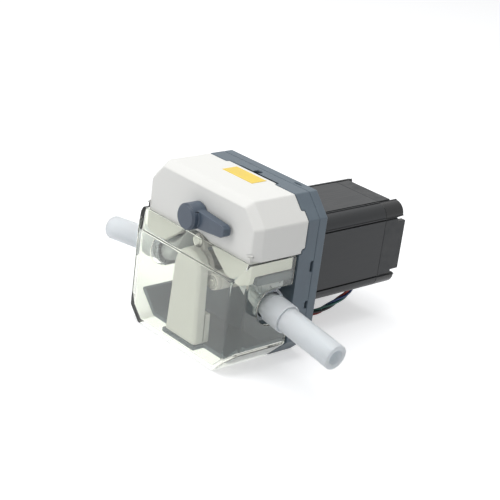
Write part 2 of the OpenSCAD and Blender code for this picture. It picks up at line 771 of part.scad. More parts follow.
// Half-outline of the arch and the lobes beside it, from the arch's top to the lower corner, for one side
function arch_points(r, flare_x, flare_z) = concat([for (a = [90 : -5 : track_end]) [r * cos(a), axis_z + r * sin(a)]],
    [[flare_x, flare_z]]);
function mirrored(points) = [for (i = [len(points) - 1 : -1 : 1]) [-points[i][0], points[i][1]]];

module front_lobes() {
    half = concat(arch_points(arch_r, lobe_x, lobe_z0), [[corner_x, lobe_z0], [skirt_x - 0.5, corner_z],
        [skirt_x, corner_z + 3], [skirt_x, block_bottom_z + 4]]);
    polygon(concat(mirrored(half), half));
}

// The block's outer form: full outline with a bevel round the front face, down to the visible lower edge
module block_form(inset, y0, y1, bevel) {
    intersection() {
        hull() {
            slab(y0, y0 + 0.1) head_outline(inset + bevel);
            slab(y0 + 1.5 * bevel, y1) head_outline(inset);
        }
        translate([-head_w, y0 - 1, block_bottom_z]) cube([2 * head_w, y1 - y0 + 2, head_h]);
    }
}

module block_shell() {
    color("whitesmoke") difference() {
        union() {
            block_form(0, block_y0, block_y1, block_bevel);
            slab(block_y0, insert_y0) front_lobes();
            for (s = [-1, 1]) {
                translate([s > 0 ? skirt_x - skirt_t : -skirt_x, insert_y0 - 1, skirt_z0])
                    cube([skirt_t, -insert_y0 + body_y0 - 1.4, block_bottom_z + 4 - skirt_z0]);
                slab(block_y1 - 1, wing_y1) intersection() {
                    head_outline();
                    translate([s > 0 ? wall_x - wing_w : -wall_x, block_bottom_z + 3]) square([wing_w, head_h]);
                }
            }
            translate([tab_x0, block_y1 - 1, head_h - tab_t]) cube([tab_x1 - tab_x0, tab_y1 - block_y1 + 1, tab_t]);
        }
        // hollow, open at the back and below
        difference() {
            slab(insert_y0, head_w) head_outline(block_wall);
            for (s = [-1, 1]) translate([s > 0 ? skirt_x - skirt_t : -skirt_x, insert_y0 - 1, 0])
                cube([skirt_t, head_w, block_bottom_z + 4]);
            slab(insert_y0 - 1, head_w) difference() {
                translate([-head_w, 0]) square([2 * head_w, block_bottom_z]);
                translate([-insert_x - slip, 0]) square([2 * insert_x + 2 * slip, block_bottom_z + 1]);
            }
        }
        rod(arch_r, block_y0 - 1, insert_y0 + eps, 0, axis_z);
        rod(lever_shaft_d / 2 + run_gap, block_y0 - 1, insert_y0 + 1, 0, lever_z);
        at_block_screws() rod(1.5 + seat, block_y0 + 1.4, insert_y0 + 1);
    }
}

module at_block_screws() {
    for (x = [[-36, 92], [36, 92], [-22, 94], [22, 94]]) translate([x[0], 0, x[1]]) children();
}

// The inner block that presses the tube: its underside is the track
module track_insert() {
    half = concat(arch_points(track_r, lobe_x + 1.5, lobe_z0 + 1.5), [[insert_lobe_x, lobe_z0 + 1.5],
        [insert_lobe_x, skirt_z0], [insert_x, skirt_z0], [insert_x, insert_top_z - 12], [insert_x - 8, insert_top_z]]);
    color("white") difference() {
        slab(insert_y0, insert_y1) polygon(concat([for (i = [len(half) - 1 : -1 : 1]) [-half[i][0], half[i][1]]], half));
        rod(lever_shaft_d / 2 + run_gap, insert_y0 - 1, insert_y1 + 1, 0, lever_z);
        at_posts() {
            cylinder(r = post_d / 2 + bush_wall + seat, h = skirt_z0 + bush_l);
            cylinder(r = post_d / 2 + 0.5, h = head_h);
        }
        at_block_screws() rod(1.5 + seat, insert_y0 - 1, insert_y1 + 1);
    }
}

module block_screws() {
    color("dimgray") at_block_screws() {
        rod(1.5, block_y0 + 1.5, insert_y1);
        rod(2.7, insert_y1, insert_y1 + 1.8);
    }
}

// Bushes in the insert that slide on the guide posts
module guide_bushes() {
    color("goldenrod") at_posts() translate([0, 0, skirt_z0]) difference() {
        cylinder(r = post_d / 2 + bush_wall, h = bush_l - seat);
        translate([0, 0, -1]) cylinder(r = post_d / 2 + run_gap, h = bush_l + 2);
    }
}

module label_plate() {
    color("gold") translate([label_x - label_w / 2, label_y0, head_h]) cube([label_w, label_d, label_t]);
}

// ---------- lever ----------

module lever() {
    hub_r = hub_d / 2;
    y1 = block_y0 - slip;
    y0 = y1 - hub_t;
    arm_y = y1 - 0.62 * hub_t;
    color("#46505c") difference() {
        union() {
            rod(hub_r, y0 + 1, y1, 0, lever_z);
            rod(hub_r - 1, y0, y0 + 1.5, 0, lever_z);
            slab(arm_y, y1 - 1.2) translate([0, lever_z]) polygon([
                [0, -hub_r * 0.72], [lever_reach * 0.4, -hub_r * 0.62], [lever_reach - 2.2, -hub_r * 0.42],
                [lever_reach, -hub_r * 0.22], [lever_reach, hub_r * 0.26], [lever_reach - 2.2, hub_r * 0.46],
                [lever_reach * 0.4, hub_r * 0.62], [0, hub_r * 0.72]]);
        }
        rod(lever_shaft_d / 2 + seat, y0 + 3, y1 + 1, 0, lever_z);
    }
}

module crank_shaft() {
    color("silver") union() {
        rod(lever_shaft_d / 2, block_y0 - slip - hub_t + 3, crank_y0 + 0.5, 0, lever_z);
        rod(crank_disc_r, crank_y0, crank_y0 + crank_disc_t, 0, lever_z);
        rod(crank_pin_d / 2, crank_y0 + 1, upper_y0 + 3.8, 0, lever_z + crank_r);
    }
}

// ---------- clear guard ----------

// Side view of the guard in Y and Z, made thinner all round by t
module guard_side(t) {
    slant = (guard_lead - slip - guard_wall * 1.15) / (block_bottom_z - hood_z);
    lean = t * sqrt(1 + slant * slant);
    top = block_bottom_z - 0.4;
    translate([-head_w, 0, 0]) rotate([90, 0, 90]) linear_extrude(2 * head_w) polygon([
        [guard_y0 + t, -1], [guard_y0 + t, hood_z + t * slant * 0.4],
        [guard_y0 + lean + (top + 2 - hood_z) * slant, top + 2 * sign(t)],
        [guard_y1 + 2 * t, top + 2 * sign(t)], [guard_y1 + 2 * t, -1]]);
}

guard_y1 = body_y0 - 1.7;

module guard_form(t) {
    intersection() {
        hull() {
            slab(guard_y0 + t, guard_y0 + t + 0.1) intersection() {
                head_outline(t);
                translate([guard_bevel + t - wall_x, 0]) square([2 * (wall_x - guard_bevel - t), head_h]);
            }
            slab(guard_y0 + t + guard_bevel, guard_y1 + t) head_outline(t);
        }
        guard_side(t);
        translate([-head_w, guard_y0 - 1, 0]) cube([2 * head_w, head_w, t > 0 ? head_h : block_bottom_z - 0.4]);
    }
}

module clear_guard() {
    color("lightyellow", 0.35) difference() {
        guard_form(0);
        guard_form(guard_wall);
        // slots for the tube, open to the back
        for (s = [-1, 1]) translate([s * wall_x, 0, tube_exit_z]) {
            translate([-guard_wall * 2, tube_y, 0]) rotate([0, 90, 0]) cylinder(r = slot_r, h = guard_wall * 4);
            translate([-guard_wall * 2, tube_y, -slot_r]) cube([guard_wall * 4, head_w, 2 * slot_r]);
        }
    }
}

rear_body();
motor_flange();
flange_screws();
bearing_arm();
arm_screws();
front_bearing();
rear_bearing();
shaft_seal();
guide_posts();
tube_clamp_left();
tube_clamp_right();
clamp_screws();
pump_tube();
tube_sleeve_left();
tube_sleeve_right();
motor_front_plate();
motor_front_bearing();
motor_housing();
motor_stator();
motor_rear_bearing();
motor_rear_cap();
motor_bolts();
lead_grommet();
motor_leads();
leads_hank();
leads_tie();
leads_plug();
drive_shaft();
front_rotor_plate();
rear_rotor_plate();
roller_pins();
pin_clips();
motor_shaft();
motor_magnet();
shaft_grub_screw();
roller_1();
roller_2();
roller_3();
block_shell();
track_insert();
block_screws();
guide_bushes();
label_plate();
lever();
crank_shaft();
clear_guard();
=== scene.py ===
"""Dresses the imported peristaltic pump: soft-edged mouldings, clear guard, translucent tube, black motor and its leads."""

import logging
import math
from dataclasses import dataclass
from enum import Enum
from typing import Iterable, Sequence

import bmesh
import bpy
import numpy as np
from mathutils import Matrix, Vector


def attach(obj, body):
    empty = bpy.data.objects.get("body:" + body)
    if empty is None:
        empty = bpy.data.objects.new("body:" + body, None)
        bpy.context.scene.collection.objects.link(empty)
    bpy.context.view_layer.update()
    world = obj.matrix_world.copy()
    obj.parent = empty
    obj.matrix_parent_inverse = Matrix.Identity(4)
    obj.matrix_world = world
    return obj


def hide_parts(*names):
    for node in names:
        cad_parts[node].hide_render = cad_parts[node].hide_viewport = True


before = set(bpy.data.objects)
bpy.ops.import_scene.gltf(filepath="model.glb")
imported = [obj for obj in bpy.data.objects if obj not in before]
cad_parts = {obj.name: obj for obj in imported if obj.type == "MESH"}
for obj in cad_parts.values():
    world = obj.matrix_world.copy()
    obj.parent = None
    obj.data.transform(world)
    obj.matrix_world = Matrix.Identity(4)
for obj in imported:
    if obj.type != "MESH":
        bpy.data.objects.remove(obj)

LOG = logging.getLogger("pump")
MM = 0.001
Point = Sequence[float]
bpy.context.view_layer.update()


# ---------- small helpers ----------

def srgb(code: str) -> tuple[float, float, float, float]:
    """Turns a hex sRGB colour into linear RGBA.

    Args:
        code: Six hex digits, with or without a leading hash.

    Returns:
        Red, green, blue and an alpha of 1, linear.
    """
    values = [int(code.lstrip("#")[i:i + 2], 16) / 255 for i in (0, 2, 4)]
    linear = [v / 12.92 if v <= 0.04045 else ((v + 0.055) / 1.055) ** 2.4 for v in values]
    return (*linear, 1.0)


def add_node(tree: bpy.types.NodeTree, kind: str, inputs: dict | None = None, **settings: object) -> bpy.types.Node:
    """Adds one node with its settings, and fills its sockets with values or links.

    Args:
        tree: The node tree.
        kind: The node's type name.
        inputs: Socket name or number to a value, or to another node's output socket, which is linked.
        settings: Properties of the node.

    Returns:
        The new node.
    """
    node = tree.nodes.new(kind)
    for key, value in settings.items():
        setattr(node, key, value)
    for key, value in (inputs or {}).items():
        if isinstance(value, bpy.types.NodeSocket):
            tree.links.new(value, node.inputs[key])
        else:
            node.inputs[key].default_value = value
    return node


def place(name: str, mesh: bpy.types.Mesh) -> bpy.types.Object:
    """Puts a mesh into the scene as an unturned object at the origin."""
    made = bpy.data.objects.new(name, mesh)
    bpy.context.scene.collection.objects.link(made)
    return made


def mesh_from(name: str, points: Iterable[Point], faces: Iterable[Sequence[int]]) -> bpy.types.Mesh:
    """Makes a mesh from points in metres and faces.

    Args:
        name: The mesh's name.
        points: The points.
        faces: Point numbers of each face.

    Returns:
        The mesh, with its normals pointing outwards.
    """
    mesh = bpy.data.meshes.new(name)
    mesh.from_pydata([tuple(p) for p in points], [], [tuple(f) for f in faces])
    shape = bmesh.new()
    shape.from_mesh(mesh)
    bmesh.ops.remove_doubles(shape, verts=shape.verts, dist=1e-7)
    bmesh.ops.recalc_face_normals(shape, faces=shape.faces)
    shape.to_mesh(mesh)
    shape.free()
    return mesh


def settle(made: bpy.types.Object) -> None:
    """Turns an object's modifiers into plain mesh and removes them."""
    graph = bpy.context.evaluated_depsgraph_get()
    mesh = bpy.data.meshes.new_from_object(made.evaluated_get(graph))
    made.modifiers.clear()
    made.data = mesh


def smooth(made: bpy.types.Object, angle: float = 32.0) -> None:
    """Shades an object smooth, apart from edges sharper than an angle in degrees."""
    made.data.shade_smooth()
    made.data.set_sharp_from_angle(angle=math.radians(angle))


def round_edges(made: bpy.types.Object, width: float, segments: int = 3, angle: float = 26.0) -> None:
    """Rounds an object's sharp edges, as a mould or a tumbler leaves them.

    Args:
        made: The object.
        width: Width of the rounding in mm.
        segments: Faces across it.
        angle: Edges that turn by more than this many degrees are rounded.
    """
    made.data.shade_smooth()
    bevel = made.modifiers.new("edges", "BEVEL")
    bevel.width = width * MM
    bevel.segments = segments
    bevel.limit_method = "ANGLE"
    bevel.angle_limit = math.radians(angle)
    bevel.use_clamp_overlap = False
    bevel.miter_outer = "MITER_ARC"
    weighted = made.modifiers.new("flat_faces", "WEIGHTED_NORMAL")
    weighted.mode = "FACE_AREA"
    weighted.weight = 100
    settle(made)


def copy_of(node: str, name: str | None = None) -> bpy.types.Object:
    """Copies a CAD node into a welded mesh with whole flat faces.

    Args:
        node: The CAD node's name.
        name: Name of the new piece, or None for the node's name with _shown.

    Returns:
        The copy, as an object of its own.
    """
    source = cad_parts[node].data
    mesh = mesh_from(name or f"{node}_shown", [v.co for v in source.vertices], [p.vertices for p in source.polygons])
    shape = bmesh.new()
    shape.from_mesh(mesh)
    bmesh.ops.remove_doubles(shape, verts=shape.verts, dist=2e-6)
    bmesh.ops.dissolve_limit(shape, angle_limit=math.radians(0.7), verts=shape.verts, edges=shape.edges)
    shape.to_mesh(mesh)
    shape.free()
    return place(mesh.name, mesh)


def loft(name: str, rings: Sequence[Sequence[Point]], closed_ends: bool = True, loop: bool = False) -> bpy.types.Mesh:
    """Makes a skin over rings of as many points each.

    Args:
        name: The mesh's name.
        rings: Rings of points in metres.
        closed_ends: Whether the first and last ring get a face.
        loop: Whether the last ring joins the first.

    Returns:
        The mesh.
    """
    n, m = len(rings[0]), len(rings)
    faces = [[i * n + k, i * n + (k + 1) % n, (i + 1) % m * n + (k + 1) % n, (i + 1) % m * n + k]
             for i in range(m if loop else m - 1) for k in range(n)]
    if closed_ends and not loop:
        faces += [list(range(n)), list(range((m - 1) * n, m * n))]
    return mesh_from(name, [p for ring in rings for p in ring], faces)


def joined(name: str, meshes: Sequence[bpy.types.Mesh]) -> bpy.types.Object:
    """Joins meshes, with their materials, into one object."""
    shape = bmesh.new()
    kept: list[bpy.types.Material] = []
    for mesh in meshes:
        first = len(shape.faces)
        shape.from_mesh(mesh)
        shape.faces.ensure_lookup_table()
        own = list(mesh.materials)
        for face in shape.faces[first:]:
            if own:
                material = own[min(face.material_index, len(own) - 1)]
                if material not in kept:
                    kept.append(material)
                face.material_index = kept.index(material)
    mesh = bpy.data.meshes.new(name)
    shape.to_mesh(mesh)
    shape.free()
    for material in kept:
        mesh.materials.append(material)
    return place(name, mesh)


# ---------- finishes ----------

@dataclass(frozen=True)
class Finish:
    """A moulded or cast surface: a colour that drifts a little, an uneven gloss and a fine skin.

    Attributes:
        name: The material's name.
        colour: Main colour.
        tone: The colour that it drifts to.
        roughness: Mean roughness.
        spread: How far the roughness drifts.
        patch: Size of the drifting patches in mm.
        grain: Size of the skin's grain in mm.
        depth: Height of the grain in mm.
        metallic: 1 for metal.
        ior: Index of refraction of what isn't metal.
        coat: Weight of a clear coat.
        through: Share of light that passes.
        inside: Share of light that scatters inside.
        reach: How far the scattered light goes, in mm.
    """

    name: str
    colour: str
    tone: str
    roughness: float = 0.5
    spread: float = 0.06
    patch: float = 30.0
    grain: float = 0.5
    depth: float = 0.01
    metallic: float = 0.0
    ior: float = 1.5
    coat: float = 0.0
    through: float = 0.0
    inside: float = 0.0
    reach: float = 1.0

    def material(self) -> bpy.types.Material:
        """Returns the finish's material, built the first time it is asked for."""
        known = bpy.data.materials.get(self.name)
        if known is not None:
            return known
        made = bpy.data.materials.new(self.name)
        made.use_nodes = True
        tree = made.node_tree
        tree.nodes.clear()
        shader = add_node(tree, "ShaderNodeBsdfPrincipled", {"Metallic": self.metallic, "Coat Weight": self.coat,
                          "Coat Roughness": 0.25, "Transmission Weight": self.through})
        if not self.metallic:
            shader.inputs["IOR"].default_value = self.ior
        if self.inside:
            shader.inputs["Subsurface Weight"].default_value = self.inside
            shader.inputs["Subsurface Radius"].default_value = (1.0, 1.0, 1.0)
            shader.inputs["Subsurface Scale"].default_value = self.reach * MM
        output = add_node(tree, "ShaderNodeOutputMaterial", {"Surface": shader.outputs["BSDF"]})
        where = add_node(tree, "ShaderNodeTexCoord").outputs["Object"]
        self.paint(tree, shader, output, where)
        return made

    def paint(self, tree: bpy.types.NodeTree, shader: bpy.types.Node, output: bpy.types.Node,
              where: bpy.types.NodeSocket) -> None:
        """Adds the surface's patterns.

        Args:
            tree: The material's tree.
            shader: Its shader.
            output: Its output node.
            where: Object coordinates.
        """
        patches = add_node(tree, "ShaderNodeTexNoise", {"Vector": where, "Scale": 1 / (self.patch * MM), "Detail": 3.0})
        colours = add_node(tree, "ShaderNodeValToRGB", {"Fac": patches.outputs["Fac"]})
        colours.color_ramp.elements[0].position, colours.color_ramp.elements[1].position = 0.35, 0.68
        colours.color_ramp.elements[0].color, colours.color_ramp.elements[1].color = srgb(self.tone), srgb(self.colour)
        tree.links.new(colours.outputs["Color"], shader.inputs["Base Color"])
        gloss = add_node(tree, "ShaderNodeMapRange", {"Value": patches.outputs["Fac"], "From Min": 0.3, "From Max": 0.7,
                         "To Min": self.roughness - self.spread, "To Max": self.roughness + self.spread})
        tree.links.new(gloss.outputs["Result"], shader.inputs["Roughness"])
        skin = add_node(tree, "ShaderNodeTexNoise", {"Vector": where, "Scale": 1 / (self.grain * MM), "Detail": 2.0})
        bump = add_node(tree, "ShaderNodeBump", {"Height": skin.outputs["Fac"], "Distance": self.depth * MM,
                        "Strength": 0.6})
        tree.links.new(bump.outputs["Normal"], shader.inputs["Normal"])


@dataclass(frozen=True)
class Turned(Finish):
    """A turned or ground metal surface, with fine lines round or along one axis.

    Attributes:
        lines: Spacing of the tool's lines in mm.
        along: Stretch of the lines on X, Y and Z: a small number draws them out along that axis.
    """

    lines: float = 0.25
    along: tuple[float, float, float] = (0.04, 1.0, 0.04)

    def paint(self, tree: bpy.types.NodeTree, shader: bpy.types.Node, output: bpy.types.Node,
              where: bpy.types.NodeSocket) -> None:
        """Adds drawn-out lines to the colour, the gloss and the relief."""
        scaled = add_node(tree, "ShaderNodeMapping", {"Vector": where, "Scale": self.along})
        drawn = add_node(tree, "ShaderNodeTexNoise", {"Vector": scaled.outputs["Vector"], "Scale": 1 / (self.lines * MM),
                         "Detail": 3.0})
        colours = add_node(tree, "ShaderNodeValToRGB", {"Fac": drawn.outputs["Fac"]})
        colours.color_ramp.elements[0].position, colours.color_ramp.elements[1].position = 0.3, 0.7
        colours.color_ramp.elements[0].color, colours.color_ramp.elements[1].color = srgb(self.tone), srgb(self.colour)
        tree.links.new(colours.outputs["Color"], shader.inputs["Base Color"])
        gloss = add_node(tree, "ShaderNodeMapRange", {"Value": drawn.outputs["Fac"], "From Min": 0.3, "From Max": 0.7,
                         "To Min": self.roughness - self.spread, "To Max": self.roughness + self.spread})
        tree.links.new(gloss.outputs["Result"], shader.inputs["Roughness"])
        bump = add_node(tree, "ShaderNodeBump", {"Height": drawn.outputs["Fac"], "Distance": self.depth * MM,
                        "Strength": 0.5})
        tree.links.new(bump.outputs["Normal"], shader.inputs["Normal"])


@dataclass(frozen=True)
class Clear(Finish):
    """A clear moulding: light passes, and long ways through it take on its tint.

    Attributes:
        tint: Colour that the depth of the material takes on.
        density: How soon it does, per metre.
    """

    tint: str = "#DDE3A0"
    density: float = 20.0

    def paint(self, tree: bpy.types.NodeTree, shader: bpy.types.Node, output: bpy.types.Node,
              where: bpy.types.NodeSocket) -> None:
        """Adds handling haze to the gloss, a faint mould ripple, and the depth's tint."""
        shader.inputs["Base Color"].default_value = srgb(self.colour)
        haze = add_node(tree, "ShaderNodeTexNoise", {"Vector": where, "Scale": 1 / (self.patch * MM), "Detail": 5.0})
        gloss = add_node(tree, "ShaderNodeMapRange", {"Value": haze.outputs["Fac"], "From Min": 0.42, "From Max": 0.75,
                         "To Min": self.roughness, "To Max": self.roughness + self.spread})
        tree.links.new(gloss.outputs["Result"], shader.inputs["Roughness"])
        ripple = add_node(tree, "ShaderNodeTexNoise", {"Vector": where, "Scale": 1 / (self.grain * MM), "Detail": 1.0})
        bump = add_node(tree, "ShaderNodeBump", {"Height": ripple.outputs["Fac"], "Distance": self.depth * MM,
                        "Strength": 0.3})
        tree.links.new(bump.outputs["Normal"], shader.inputs["Normal"])
        depth = add_node(tree, "ShaderNodeVolumeAbsorption", {"Color": srgb(self.tint), "Density": self.density})
        tree.links.new(depth.outputs["Volume"], output.inputs["Volume"])


@dataclass(frozen=True)
class Cast(Finish):
    """Black-painted die casting: pimpled skin with a few bright specks where the paint is thin.

    Attributes:
        speck: Colour of the specks.
        specks: Spacing of the specks in mm.
    """

    speck: str = "#8A9094"
    specks: float = 1.1

    def paint(self, tree: bpy.types.NodeTree, shader: bpy.types.Node, output: bpy.types.Node,
              where: bpy.types.NodeSocket) -> None:
        """Adds the plain pattern, then specks over it."""
        super().paint(tree, shader, output, where)
        cells = add_node(tree, "ShaderNodeTexVoronoi", {"Vector": where, "Scale": 1 / (self.specks * MM)})
        dots = add_node(tree, "ShaderNodeMapRange", {"Value": cells.outputs["Distance"], "From Min": 0.08,
                        "From Max": 0.16, "To Min": 1.0, "To Max": 0.0})
        base = shader.inputs["Base Color"].links[0].from_socket
        mixed = add_node(tree, "ShaderNodeMix", {"Factor": dots.outputs["Result"]}, data_type="RGBA")
        tree.links.new(base, mixed.inputs["A"])
        mixed.inputs["B"].default_value = srgb(self.speck)
        tree.links.new(mixed.outputs["Result"], shader.inputs["Base Color"])


# White ABS, moulded with a fine spark-eroded skin: soft sheen, slightly warm.
WHITE_ABS = Finish("white_abs", "#F5F2E7", "#F0EDE1", 0.42, 0.05, 40, 0.45, 0.006, ior=1.53, inside=0.05, reach=0.8)
# White acetal, as machined or moulded for sliding parts: smoother and cooler than the ABS.
WHITE_ACETAL = Finish("white_acetal", "#F0EDEA", "#E7E4E1", 0.34, 0.05, 18, 0.6, 0.004, ior=1.48, inside=0.15, reach=1.2)
# Blue-grey glass-filled nylon: matt, a little mottled by the fibres under its skin.
GREY_NYLON = Finish("grey_nylon", "#63707A", "#586570", 0.5, 0.07, 14, 0.5, 0.012, ior=1.53)
# The lever's darker ABS, with the satin that fingers leave.
LEVER_ABS = Finish("lever_abs", "#505D6B", "#475362", 0.36, 0.08, 12, 0.4, 0.006, ior=1.53, coat=0.05)
# Clear polycarbonate, injection moulded: glossy faces, and edges that gather a yellow-green tint.
CLEAR_PC = Clear("clear_polycarbonate", "#FBFDF6", "#FFFFFF", 0.02, 0.03, 60, 9, 0.004, ior=1.585, through=1.0,
                 tint="#C9CE6A", density=5)
# Natural polyamide of the tube clamps: milky, half clear.
CLEAR_NYLON = Finish("natural_nylon", "#E4E9EE", "#D6DEE6", 0.3, 0.08, 8, 0.6, 0.006, ior=1.53, through=0.55,
                     inside=0.2, reach=3)
# Extruded silicone tube: milky and bluish, satin outside with faint drawing lines.
SILICONE = Finish("silicone_tube", "#F4F9FD", "#EFF6FB", 0.3, 0.05, 40, 0.9, 0.004, ior=1.41, through=0.3,
                  inside=0.5, reach=6)
# Turned stainless steel: fine lines round the shaft, bright and slightly warm.
STEEL = Turned("turned_steel", "#D4D3CF", "#B9B9B7", 0.24, 0.07, depth=0.003, metallic=1.0, lines=0.3)
# Zinc-plated screws: a softer gloss than the turned shafts.
PLATED = Finish("zinc_plated_steel", "#D8D8D6", "#B4B6B8", 0.3, 0.08, 2, 0.4, 0.004, metallic=1.0)
# Black-oxide alloy steel of socket screws: dark, oily satin.
BLACK_STEEL = Finish("black_oxide_steel", "#3A3B3E", "#26272A", 0.38, 0.08, 3, 0.4, 0.006, metallic=1.0)
# Black-anodised extruded aluminium of the motor's body: satin, with faint lines along its length.
MOTOR_BODY = Turned("anodised_housing", "#14181C", "#0F1215", 0.42, 0.06, depth=0.003, ior=1.5, lines=0.35,
                    along=(1.0, 0.02, 1.0))
# Black-painted die-cast end bells of the motor: slightly pimpled.
MOTOR_CAST = Finish("painted_casting", "#171B1F", "#121518", 0.46, 0.08, 6, 0.8, 0.03, ior=1.5)
# The corner bars, rubbed smoother than the flats between them: deeper black, more gloss.
MOTOR_BARS = Turned("anodised_corner_bars", "#0B0D10", "#08090B", 0.26, 0.05, depth=0.002, ior=1.5, lines=0.35,
                    along=(1.0, 0.02, 1.0))
# The bare step behind the motor's top panel: rough casting with bright specks.
MOTOR_SPECKLED = Cast("speckled_casting", "#4A4D50", "#3A3D40", 0.62, 0.1, 3, 0.5, 0.06, ior=1.5)
# Enamelled copper windings and iron teeth of the stator, hidden in the housing.
COPPER = Turned("enamelled_copper", "#B4693A", "#7D4526", 0.32, 0.08, depth=0.02, metallic=1.0, lines=0.5,
                along=(1.0, 0.03, 1.0))
# Nitrile seal: matt black rubber.
RUBBER = Finish("nitrile_rubber", "#26272A", "#1D1E20", 0.68, 0.08, 5, 0.5, 0.012, ior=1.52)
# Sintered bronze bushes: porous and dull gold.
BRONZE = Finish("sintered_bronze", "#B08A4C", "#8C6A36", 0.48, 0.1, 1.5, 0.25, 0.02, metallic=1.0)
# Yellow polyester label film, left bare.
LABEL_FILM = Finish("yellow_label_film", "#F3D22B", "#EECB20", 0.4, 0.05, 9, 0.8, 0.004, ior=1.6, coat=0.3)
# Black nylon of the cable tie.
TIE_NYLON = Finish("black_nylon", "#222326", "#1A1B1D", 0.45, 0.06, 4, 0.4, 0.006, ior=1.53)
# Nylon connector housing of the leads: white, waxy.
PLUG_NYLON = Finish("plug_nylon", "#EDEBE2", "#E2E0D6", 0.38, 0.06, 5, 0.4, 0.005, ior=1.53, inside=0.1, reach=1)
# PVC insulation of the four leads: glossy, one colour each.
LEAD_COLOURS = (Finish("lead_pvc_red", "#A8322C", "#932822", 0.34, 0.06, 6, 0.7, 0.006, ior=1.53),
                Finish("lead_pvc_black", "#26272A", "#1C1D20", 0.34, 0.06, 6, 0.7, 0.006, ior=1.53),
                Finish("lead_pvc_green", "#2E6E66", "#255C55", 0.34, 0.06, 6, 0.7, 0.006, ior=1.53),
                Finish("lead_pvc_blue", "#2F4E86", "#274272", 0.34, 0.06, 6, 0.7, 0.006, ior=1.53))


class Body(Enum):
    """The moving bodies that the pieces ride on."""

    ROOT = "root"
    ROTOR = "rotor"
    BLOCK = "press_block"
    LEVER = "lever"
    GUARD = "guard"


def dress(made: bpy.types.Object, finish: Finish, body: Body | str, slot: str, *nodes: str) -> bpy.types.Object:
    """Gives a piece its finish and its body, and hides the CAD nodes that it replaces.

    Args:
        made: The finished piece.
        finish: Its finish.
        body: The body that it rides on.
        slot: The record's slot; not used.
        nodes: CAD nodes that it replaces.

    Returns:
        The piece.
    """
    if not made.data.materials:
        made.data.materials.append(finish.material())
    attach(made, body.value if isinstance(body, Body) else body)
    if nodes:
        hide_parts(*nodes)
    LOG.info("%s: %d faces", made.name, len(made.data.polygons))
    return made


def soften(node: str, width: float, finish: Finish, body: Body | str, slot: str, segments: int = 3) -> bpy.types.Object:
    """Replaces a CAD node by a copy with rounded edges.

    Args:
        node: The CAD node.
        width: Width of the rounding in mm.
        finish: The piece's finish.
        body: The body that it rides on.
        slot: The record's slot; not used.
        segments: Faces across the rounding.

    Returns:
        The piece.
    """
    made = copy_of(node)
    round_edges(made, width, segments)
    return dress(made, finish, body, slot, node)


def repaint(finish: Finish, *nodes: str) -> None:
    """Gives CAD nodes that stay as they are a procedural finish."""
    for node in nodes:
        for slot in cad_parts[node].material_slots:
            slot.material = finish.material()


# ---------- trees for what repeats or follows a rule ----------

class TreeBuilder:
    """A Geometry Nodes tree with named inputs that is run once on a mesh and turned into plain mesh."""

    def __init__(self, name: str, sizes: Sequence[str]) -> None:
        """Starts the tree.

        Args:
            name: The tree's name.
            sizes: Names of its number inputs.
        """
        self.tree = bpy.data.node_groups.new(name, "GeometryNodeTree")
        make = self.tree.interface.new_socket
        make("Geometry", in_out="INPUT", socket_type="NodeSocketGeometry")
        self.identifiers = {size: make(size, in_out="INPUT", socket_type="NodeSocketFloat").identifier for size in sizes}
        self.identifiers["Turn"] = make("Turn", in_out="INPUT", socket_type="NodeSocketVector").identifier
        self.identifiers["Material"] = make("Material", in_out="INPUT", socket_type="NodeSocketMaterial").identifier
        make("Geometry", in_out="OUTPUT", socket_type="NodeSocketGeometry")
        self.given = self.add("NodeGroupInput").outputs

    def add(self, kind: str, inputs: dict | None = None, **settings: object) -> bpy.types.Node:
        """Adds a node to the tree."""
        return add_node(self.tree, kind, inputs, **settings)

    def maths(self, a: object, b: object, operation: str = "SUBTRACT") -> bpy.types.NodeSocket:
        """Returns the result of a sum on two numbers or sockets, a difference unless another is named."""
        return self.add("ShaderNodeMath", {0: a, 1: b}, operation=operation).outputs[0]

    def end(self, geometry: bpy.types.NodeSocket) -> None:
        """Ends the tree in Realize Instances and Set Material."""
        real = self.add("GeometryNodeRealizeInstances", {"Geometry": geometry})
        painted = self.add("GeometryNodeSetMaterial", {"Geometry": real.outputs["Geometry"],
                           "Material": self.given["Material"]})
        self.add("NodeGroupOutput", {"Geometry": painted.outputs["Geometry"]})

    def run(self, name: str, mesh: bpy.types.Mesh, finish: Finish, turn: Point = (0, 0, 0),
            **sizes: float) -> bpy.types.Object:
        """Runs the tree on a mesh.

        Args:
            name: The piece's name.
            mesh: The mesh that goes in.
            finish: Its finish.
            turn: Turn of each copy, in radians about X, Y and Z.
            sizes: Number inputs in metres, with spaces in their names as underscores.

        Returns:
            The piece, as plain mesh.
        """
        made = place(name, mesh)
        modifier = made.modifiers.new("tree", "NODES")
        modifier.node_group = self.tree
        modifier[self.identifiers["Turn"]] = list(turn)
        modifier[self.identifiers["Material"]] = finish.material()
        for size, value in sizes.items():
            modifier[self.identifiers[size.replace("_", " ")]] = float(value)
        settle(made)
        return made


